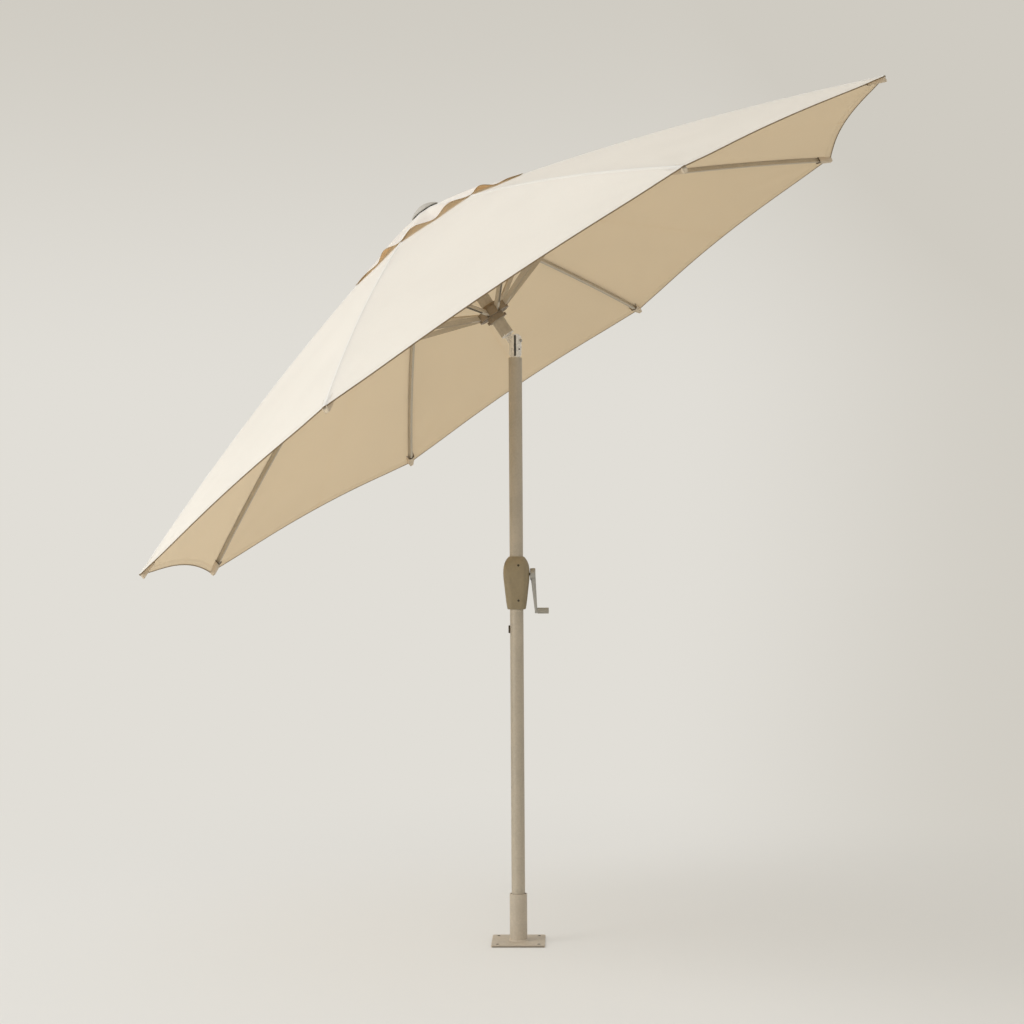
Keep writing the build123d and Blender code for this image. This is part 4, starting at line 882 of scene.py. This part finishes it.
def metal_material(name, face, roughness, relief=0.2, cast=False, painted_shade=None, metal=1.0):
    """Bare metal: brushed along Z or cast with a fine grain, darker in patches, with painted shade in
    grooves.
    """
    material, tree, shader = start_material(name, roughness, metal)
    skin = use_group(tree, "coat_grain", Grain=900.0, Cloud=40.0)
    colour_now = blend_colour(tree, skin["Tone"], shaded(face, 0.82), shaded(face, 1.05))
    # painted shade: grooves darkened in the colour
    if painted_shade:
        colour_now = blend_colour(tree, painted_shade(tree), colour_now, shaded(face, 0.1))
    feed(tree, shader.inputs["Base Color"], colour_now)
    if cast:
        height = skin["Height"]
        gloss = skin["Gloss"]
    else:
        lines = use_group(tree, "brushed")
        height = lines["Height"]
        gloss = lines["Gloss"]
    rough = plus(tree, roughness - 0.08, times(tree, gloss, 0.2))
    feed(tree, shader.inputs["Roughness"], rough)
    bump(tree, shader, height, relief, COAT_BUMP)
    return material


def braid_material(name, face):
    """Braided cord: two sets of slanted strands along its length."""
    material, tree, shader = start_material(name, roughness=0.8, specular=0.3)
    x, y, z = axes_of(tree, object_place(tree))
    turn = times(tree, calc(tree, "ARCTAN2", y, x), BRAID_ROUND)
    rise = times(tree, z, BRAID_ALONG)
    one_way = calc(tree, "SINE", plus(tree, rise, turn))
    other_way = calc(tree, "SINE", minus(tree, rise, turn))
    strand = times(tree, one_way, other_way)
    share = remap(tree, strand, -1, 1)
    colour_now = blend_colour(tree, share, shaded(face, 0.75), shaded(face, 1.05))
    feed(tree, shader.inputs["Base Color"], colour_now)
    bump(tree, shader, strand, 0.5, CORD_BUMP)
    return material


def plate_edge_distance(tree):
    """Distance from the base plate's sides and from its socket's rim."""
    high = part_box("base_plate")[1]
    x, y, z = axes_of(tree, object_place(tree))
    from_x = minus(tree, high[0], size_of(tree, x))
    from_y = minus(tree, high[1], size_of(tree, y))
    beside = least(tree, from_x, from_y)
    below = size_of(tree, minus(tree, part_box("base_socket")[1][2], z))
    return least(tree, size_of(tree, beside), below)


def pole_end_distance(tree):
    """Distance along the pole from its joint and its upper end."""
    _, _, z = axes_of(tree, object_place(tree))
    joint = size_of(tree, minus(tree, z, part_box("lower_pole")[1][2]))
    top = size_of(tree, minus(tree, z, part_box("upper_pole")[1][2]))
    return least(tree, joint, top)


def base_painted_shade(tree):
    """Painted shade: 1 on the walls of the base plate's four bolt holes and a set share on its cut
    edges.

    The small distances are where the tone fades beside a wall.
    """
    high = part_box("base_plate")[1]
    x, y, z = axes_of(tree, object_place(tree))
    off_x = minus(tree, size_of(tree, x), BOLT_PLACE)
    off_y = minus(tree, size_of(tree, y), BOLT_PLACE)
    squares = plus(tree, calc(tree, "POWER", off_x, 2.0), calc(tree, "POWER", off_y, 2.0))
    away = calc(tree, "SQRT", squares)
    hole = remap(tree, away, BOLT_HOLE_R + 0.0004, BOLT_HOLE_R + 0.0002)
    outmost = most(tree, size_of(tree, x), size_of(tree, y))
    at_side = remap(tree, outmost, high[0] - 0.0006, high[0] - 0.0002)
    below_top = remap(tree, z, high[2] - 0.0004, high[2] - 0.0010, 0.0, EDGE_SHADE)
    return most(tree, hole, times(tree, at_side, below_top))


def knuckle_groove_shade(tree):
    """Painted shade: 1 on the walls of the groove down the front of the tilt joint, faded over small
    distances.
    """
    x, y, _ = axes_of(tree, object_place(tree))
    beside = remap(tree, size_of(tree, x), GROOVE_HALF_W + 0.0003, GROOVE_HALF_W + 0.0001)
    inside = remap(tree, y, -KNUCKLE_R + 0.0002, -KNUCKLE_R + 0.0008)
    floor = -KNUCKLE_R + GROOVE_DEPTH
    front = remap(tree, y, floor + 0.0006, floor + 0.0003)
    return times(tree, beside, times(tree, inside, front))


NODE_FINISHES = {
    "pole_coat": ["lower_pole", "upper_pole", "canopy_tube"],
    "frame_coat": [f"{kind}_{number}" for kind in ("rib", "strut") for number in range(1, RIBS + 1)],
    "base_coat": ["base_plate", "base_socket", "base_weld"],
    "knuckle_metal": ["tilt_lower_knuckle", "tilt_upper_knuckle"],
    "crank_metal": ["crank_arm"],
    "housing_shell": ["crank_housing_front", "crank_housing_rear"],
    "hub_shell": ["top_hub", "runner"],
    "finial_shell": ["finial"],
    "grip_shell": ["crank_knob"],
    "inner_shell": ["socket_sleeve", "pulley", "pole_coupler"],
    # housing_screws are drawn dark as painted shade of the housing's screw holes
    "dark_metal": ["snap_button", "snap_spring", "tilt_button_spring", "knuckle_rivet", "crank_shaft",
                   "housing_screws"],
    "pin_metal": ["crank_pin", "knob_pin", "tilt_pin", "tilt_button", "hub_pins", "runner_pins",
                  "pulley_pin", "finial_stud"],
    "cord_braid": ["lift_cord_lower", "lift_cord_upper"],
}


class UMBRELLA_OT_effects(bpy.types.Operator):
    """Builds the shared shader effects: grain, dust, wear, brushing, weave and stitches"""

    bl_idname = "umbrella.effects"
    bl_label = "Shader effects"

    def execute(self, context):
        for build in (coat_grain_group, settled_dust_group, edge_wear_group, brushed_group,
                      cloth_weave_group, stitch_row_group):
            build()
        return {"FINISHED"}


class UMBRELLA_OT_finishes(bpy.types.Operator):
    """Gives every piece of the frame its coating, plastic or metal"""

    bl_idname = "umbrella.finishes"
    bl_label = "Frame finishes"

    def execute(self, context):
        hues = context.scene.umbrella_colours
        coats = {
            "pole_coat": dict(face=hues.pole, wear_distance=pole_end_distance, wear_width=0.004,
                              roughness=0.48, metal=0.1),
            "frame_coat": dict(face=shaded(hues.pole, FRAME_PAINTED_LIGHT)[:3], roughness=0.46, metal=0.1),
            # the base plate's bolt holes and cut edges get painted shade
            "base_coat": dict(face=hues.base, wear_distance=plate_edge_distance, wear_width=0.0025,
                              roughness=0.48, painted_shade=base_painted_shade),
            "housing_shell": dict(face=hues.housing, grain=PLASTIC_GRAIN, roughness=0.55, relief=0.3),
            "hub_shell": dict(face=hues.hub, grain=PLASTIC_GRAIN, roughness=0.52, relief=0.25),
            "finial_shell": dict(face=hues.finial, grain=PLASTIC_GRAIN, roughness=0.5, relief=0.25),
            "grip_shell": dict(face=hues.grip, grain=PLASTIC_GRAIN, roughness=0.5, relief=0.3),
            "inner_shell": dict(face=hues.sleeve, grain=PLASTIC_GRAIN, roughness=0.55),
        }
        metals = {
            # the groove down the tilt joint's front gets painted shade
            "knuckle_metal": dict(face=hues.knuckle, roughness=0.30, relief=0.12, cast=True,
                                  painted_shade=knuckle_groove_shade, metal=0.3),
            "crank_metal": dict(face=hues.crank, roughness=0.42, cast=True, metal=0.7),
            "dark_metal": dict(face=hues.dark_steel, roughness=0.45),
            "pin_metal": dict(face=hues.pin_steel, roughness=0.32),
        }
        made = {name: coated_material(name, **look) for name, look in coats.items()}
        made.update({name: metal_material(name, **look) for name, look in metals.items()})
        made["cord_braid"] = braid_material("cord_braid", hues.cord)
        for finish, names in NODE_FINISHES.items():
            for name in names:
                node = frame["nodes"][name]
                if not node.material_slots:
                    raise RuntimeError(f"{name} has no material slot")
                for place in node.material_slots:
                    place.material = made[finish]
        return {"FINISHED"}


def spring_piece(node, title):
    """A spring's merged CAD shape in dark steel, as a piece of its own on the base."""
    mesh = frame["nodes"][node].data.copy()
    work = bmesh.new()
    work.from_mesh(mesh)
    bmesh.ops.remove_doubles(work, verts=work.verts, dist=MERGE_DISTANCE)
    work.to_mesh(mesh)
    work.free()
    if "custom_normal" in mesh.attributes:
        mesh.attributes.remove(mesh.attributes["custom_normal"])
    mesh.polygons.foreach_set("use_smooth", np.ones(len(mesh.polygons), bool))
    mesh.set_sharp_from_angle(angle=SHARP_ANGLE)
    mesh.materials.clear()
    mesh.materials.append(bpy.data.materials["dark_metal"])
    piece = bpy.data.objects.new(title, mesh)
    bpy.context.scene.collection.objects.link(piece)
    places = np.empty(3 * len(mesh.vertices), np.float32)
    mesh.vertices.foreach_get("co", places)
    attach(piece, "base")
    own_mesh(piece)
    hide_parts(node)


class UMBRELLA_OT_springs(bpy.types.Operator):
    """Makes pieces of the springs behind the two buttons"""

    bl_idname = "umbrella.springs"
    bl_label = "Button springs"

    def execute(self, context):
        for node, (title, joint) in SPRINGS.items():
            spring_piece(node, title)
        return {"FINISHED"}


class UMBRELLA_OT_pockets(bpy.types.Operator):
    """Sews a pocket for each rib's end under the canopy's corners"""

    bl_idname = "umbrella.pockets"
    bl_label = "Rib pockets"

    def execute(self, context):
        canopy = context.scene.umbrella_canopy
        hues = context.scene.umbrella_colours
        # the lining's edge colour is painted shadow at each pocket's mouth
        lining = cloth_material("pocket_lining", hues.cloth_inside, hues.inside_glow, POCKET_SHARE,
                                hues, hem_row=POCKET_STITCHES, edge_dark=1.0, edge=hues.pocket_mouth_shade)
        grids = pocket_grids(canopy)
        for rib in range(1, RIBS + 1):
            piece, _ = make_sheet("rib_pocket", grids, [lining, lining], rib)
            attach(piece, f"rib_{rib}")
        return {"FINISHED"}


class UMBRELLA_OT_canopy(bpy.types.Operator):
    """Stretches the canopy's cloth over the ribs"""

    bl_idname = "umbrella.canopy"
    bl_label = "Canopy cloth"

    def execute(self, context):
        canopy = context.scene.umbrella_canopy
        hues = context.scene.umbrella_colours
        outside = cloth_material("canopy_outside", hues.cloth_outside, hues.outside_glow, OUTER_SHARE,
                                 hues, furrow_shade=0.06, edge_dark=0.1)
        inside = cloth_material("canopy_inside", hues.cloth_inside, hues.inside_glow, INNER_SHARE,
                                hues, furrow_shade=0.3, edge_dark=0.9)
        grids = canopy_grids(canopy)
        for rib in range(1, RIBS + 1):
            piece, area = make_sheet("canopy_cloth", grids, [outside, inside], rib)
            gather(piece, rib)
            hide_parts(f"canopy_panel_{rib}")
        return {"FINISHED"}


class UMBRELLA_OT_vent_flap(bpy.types.Operator):
    """Lays the waved vent flap over the canopy's opening"""

    bl_idname = "umbrella.vent_flap"
    bl_label = "Vent flap"

    def execute(self, context):
        canopy = context.scene.umbrella_canopy
        hues = context.scene.umbrella_colours
        outside = cloth_material("flap_outside", hues.cloth_outside, hues.outside_glow, FLAP_SHARE,
                                 hues, hem_row=FLAP_STITCHES, furrow_shade=0.06, edge_dark=0.1)
        inside = cloth_material("flap_inside", hues.flap_inside, hues.flap_glow, INNER_SHARE,
                                hues, hem_row=FLAP_STITCHES, furrow_shade=0.3)
        side_grids = flap_grids(canopy, canopy.flap_wave)
        end_grids = flap_grids(canopy, canopy.flap_low_wave)
        for rib in range(1, RIBS + 1):
            towards_end = abs(math.cos(rib_azimuth(rib))) > math.cos(math.radians(45))
            grids = end_grids if towards_end else side_grids
            piece, area = make_sheet("vent_flap", grids, [outside, inside], rib)
            gather(piece, rib)
        return {"FINISHED"}


def soft_lamp(name, place, aim, size, watts):
    """A square lamp that looks at a point."""
    data = bpy.data.lights.new(name, "AREA")
    data.shape = "SQUARE"
    data.size = size
    data.energy = watts
    lamp = bpy.data.objects.new(name, data)
    lamp.location = place
    lamp.rotation_euler = (Vector(aim) - Vector(place)).to_track_quat("-Z", "Y").to_euler()
    bpy.context.scene.collection.objects.link(lamp)


def seen_ray(tree):
    """1 for rays that show the background: from the camera, in gloss or through glass."""
    path = add_node(tree, "LightPath")
    seen = most(tree, path.outputs["Is Camera Ray"], path.outputs["Is Glossy Ray"])
    return most(tree, seen, path.outputs["Is Transmission Ray"])


def backdrop_colour(tree, stage, beside, above):
    """The backdrop: pale at the left of the horizon, with painted shade darker to the right and above.
    """
    share = plus(tree, remap(tree, beside, *DARKER_RIGHT), above)
    share = least(tree, share, 1.0)
    return blend_colour(tree, share, (*stage.backdrop_low, 1), (*stage.backdrop_high, 1))


def floor_material(stage):
    """Matte floor near the object that turns into the background's colour further out. That colour glows
    for camera rays with the backdrop's painted shade to the right, and near the object it already glows
    over the lit floor as painted light that softens the shadow.
    """
    material, tree, shader = start_material("studio_floor", roughness=0.95, specular=0.0)
    place = object_place(tree)
    cloud = noise(tree, place, 0.8, 2.0)
    colour_now = blend_colour(tree, cloud, shaded(stage.floor, 0.985), shaded(stage.floor, 1.01))
    feed(tree, shader.inputs["Base Color"], colour_now)
    far = add_node(tree, "VectorMath", operation="LENGTH")
    feed(tree, far.inputs[0], place)
    x, _, _ = axes_of(tree, place)
    beside = calc(tree, "DIVIDE", x, plus(tree, far.outputs["Value"], VIEW_DISTANCE))
    fade = remap(tree, far.outputs["Value"], stage.fade_start, stage.fade_end, NEAR_FADE, 1.0)
    glow = add_node(tree, "Emission")
    feed(tree, glow.inputs["Color"], backdrop_colour(tree, stage, beside, 0.0))
    mixed = add_node(tree, "MixShader")
    feed(tree, mixed.inputs[0], times(tree, fade, seen_ray(tree)))
    feed(tree, mixed.inputs[1], shader.outputs["BSDF"])
    feed(tree, mixed.inputs[2], glow.outputs["Emission"])
    feed(tree, tree.nodes["Material Output"].inputs["Surface"], mixed.outputs["Shader"])
    return material


def studio_world(stage):
    """Even light from all round, and the backdrop's colours with their painted shade where the
    background shows.
    """
    world = bpy.data.worlds.new("studio")
    world.use_nodes = True
    tree = world.node_tree
    beside, _, up = axes_of(tree, add_node(tree, "TexCoord").outputs["Generated"])
    shown = backdrop_colour(tree, stage, beside, remap(tree, up, *DARKER_ABOVE))
    light = tree.nodes["Background"]
    light.inputs["Color"].default_value = AMBIENT_TINT
    light.inputs["Strength"].default_value = stage.ambient
    back = add_node(tree, "Background")
    feed(tree, back.inputs["Color"], shown)
    mixed = add_node(tree, "MixShader")
    feed(tree, mixed.inputs[0], seen_ray(tree))
    feed(tree, mixed.inputs[1], light.outputs["Background"])
    feed(tree, mixed.inputs[2], back.outputs["Background"])
    feed(tree, tree.nodes["World Output"].inputs["Surface"], mixed.outputs["Shader"])
    bpy.context.scene.world = world


def studio_camera(stage):
    """The camera at the photograph's place: heading and pitch aim it, and roll turns its picture."""
    level = math.cos(stage.pitch)
    ahead = Vector((-math.sin(stage.heading) * level, math.cos(stage.heading) * level,
                    math.sin(stage.pitch)))
    right = ahead.cross(Vector((0, 0, 1))).normalized()
    above = right.cross(ahead)
    turned = right * math.cos(stage.roll) - above * math.sin(stage.roll)
    raised = right * math.sin(stage.roll) + above * math.cos(stage.roll)
    data = bpy.data.cameras.new("studio_camera")
    data.lens = stage.lens
    data.sensor_width = SENSOR_WIDTH
    data.clip_end = FAR_CLIP
    camera = bpy.data.objects.new("studio_camera", data)
    axes = Matrix((turned, raised, -ahead)).transposed()
    camera.matrix_world = Matrix.Translation(Vector(stage.eye)) @ axes.to_4x4()
    bpy.context.scene.collection.objects.link(camera)
    bpy.context.scene.camera = camera


class UMBRELLA_OT_stage(bpy.types.Operator):
    """Sets the floor, the background, the lamps and the camera"""

    bl_idname = "umbrella.stage"
    bl_label = "Stage"

    def execute(self, context):
        stage = context.scene.umbrella_stage
        rings = stage.floor_radius * np.array(FLOOR_RINGS)[:, None]
        turns = np.linspace(0, 2 * np.pi, stage.floor_segments, endpoint=False)
        closed = np.append(turns, turns[0])
        x = rings * np.cos(closed)
        y = rings * np.sin(closed)
        points = np.stack([x, y, np.full_like(x, -FLOOR_DROP)], axis=-1).reshape(-1, 3)
        quads = grid_quads(len(rings), len(closed))
        floor = place_mesh("studio_floor", points, quads, [floor_material(stage)],
                           np.zeros(len(quads)), np.zeros(len(points), bool))
        studio_world(stage)
        soft_lamp("key_lamp", KEY_PLACE, KEY_AIM, stage.key_size, stage.key_power)
        soft_lamp("fill_lamp", FILL_PLACE, FILL_AIM, stage.fill_size, stage.fill_power)
        studio_camera(stage)
        context.scene.view_settings.view_transform = "Standard"
        return {"FINISHED"}


class UMBRELLA_PT_sidebar(bpy.types.Panel):
    """Sizes, colours and steps of the umbrella"""

    bl_idname = "UMBRELLA_PT_sidebar"
    bl_label = "Market umbrella"
    bl_space_type = "VIEW_3D"
    bl_region_type = "UI"
    bl_category = "Umbrella"

    def draw(self, context):
        for step in STEPS:
            self.layout.operator(step.bl_idname)
        for title, kind in GROUPS.items():
            box = self.layout.box()
            for key in kind.__annotations__:
                box.prop(getattr(context.scene, title), key)


GROUPS = {
    "umbrella_canopy": UmbrellaCanopy,
    "umbrella_colours": UmbrellaColours,
    "umbrella_stage": UmbrellaStage,
}
STEPS = (UMBRELLA_OT_effects, UMBRELLA_OT_finishes, UMBRELLA_OT_springs, UMBRELLA_OT_pockets,
         UMBRELLA_OT_canopy, UMBRELLA_OT_vent_flap, UMBRELLA_OT_stage)


def register():
    """Adds the classes and the scene's settings."""
    for kind in (*GROUPS.values(), *STEPS, UMBRELLA_PT_sidebar):
        bpy.utils.register_class(kind)
    for title, kind in GROUPS.items():
        setattr(bpy.types.Scene, title, PointerProperty(type=kind))


def unregister():
    """Takes the settings and the classes away again."""
    for title in GROUPS:
        delattr(bpy.types.Scene, title)
    for kind in (UMBRELLA_PT_sidebar, *reversed(STEPS), *reversed(list(GROUPS.values()))):
        bpy.utils.unregister_class(kind)


def main():
    register()
    bpy.ops.umbrella.effects()
    bpy.ops.umbrella.finishes()
    bpy.ops.umbrella.springs()
    bpy.ops.umbrella.pockets()
    bpy.ops.umbrella.canopy()
    bpy.ops.umbrella.vent_flap()
    bpy.ops.umbrella.stage()


if __name__ == "__main__":
    main()
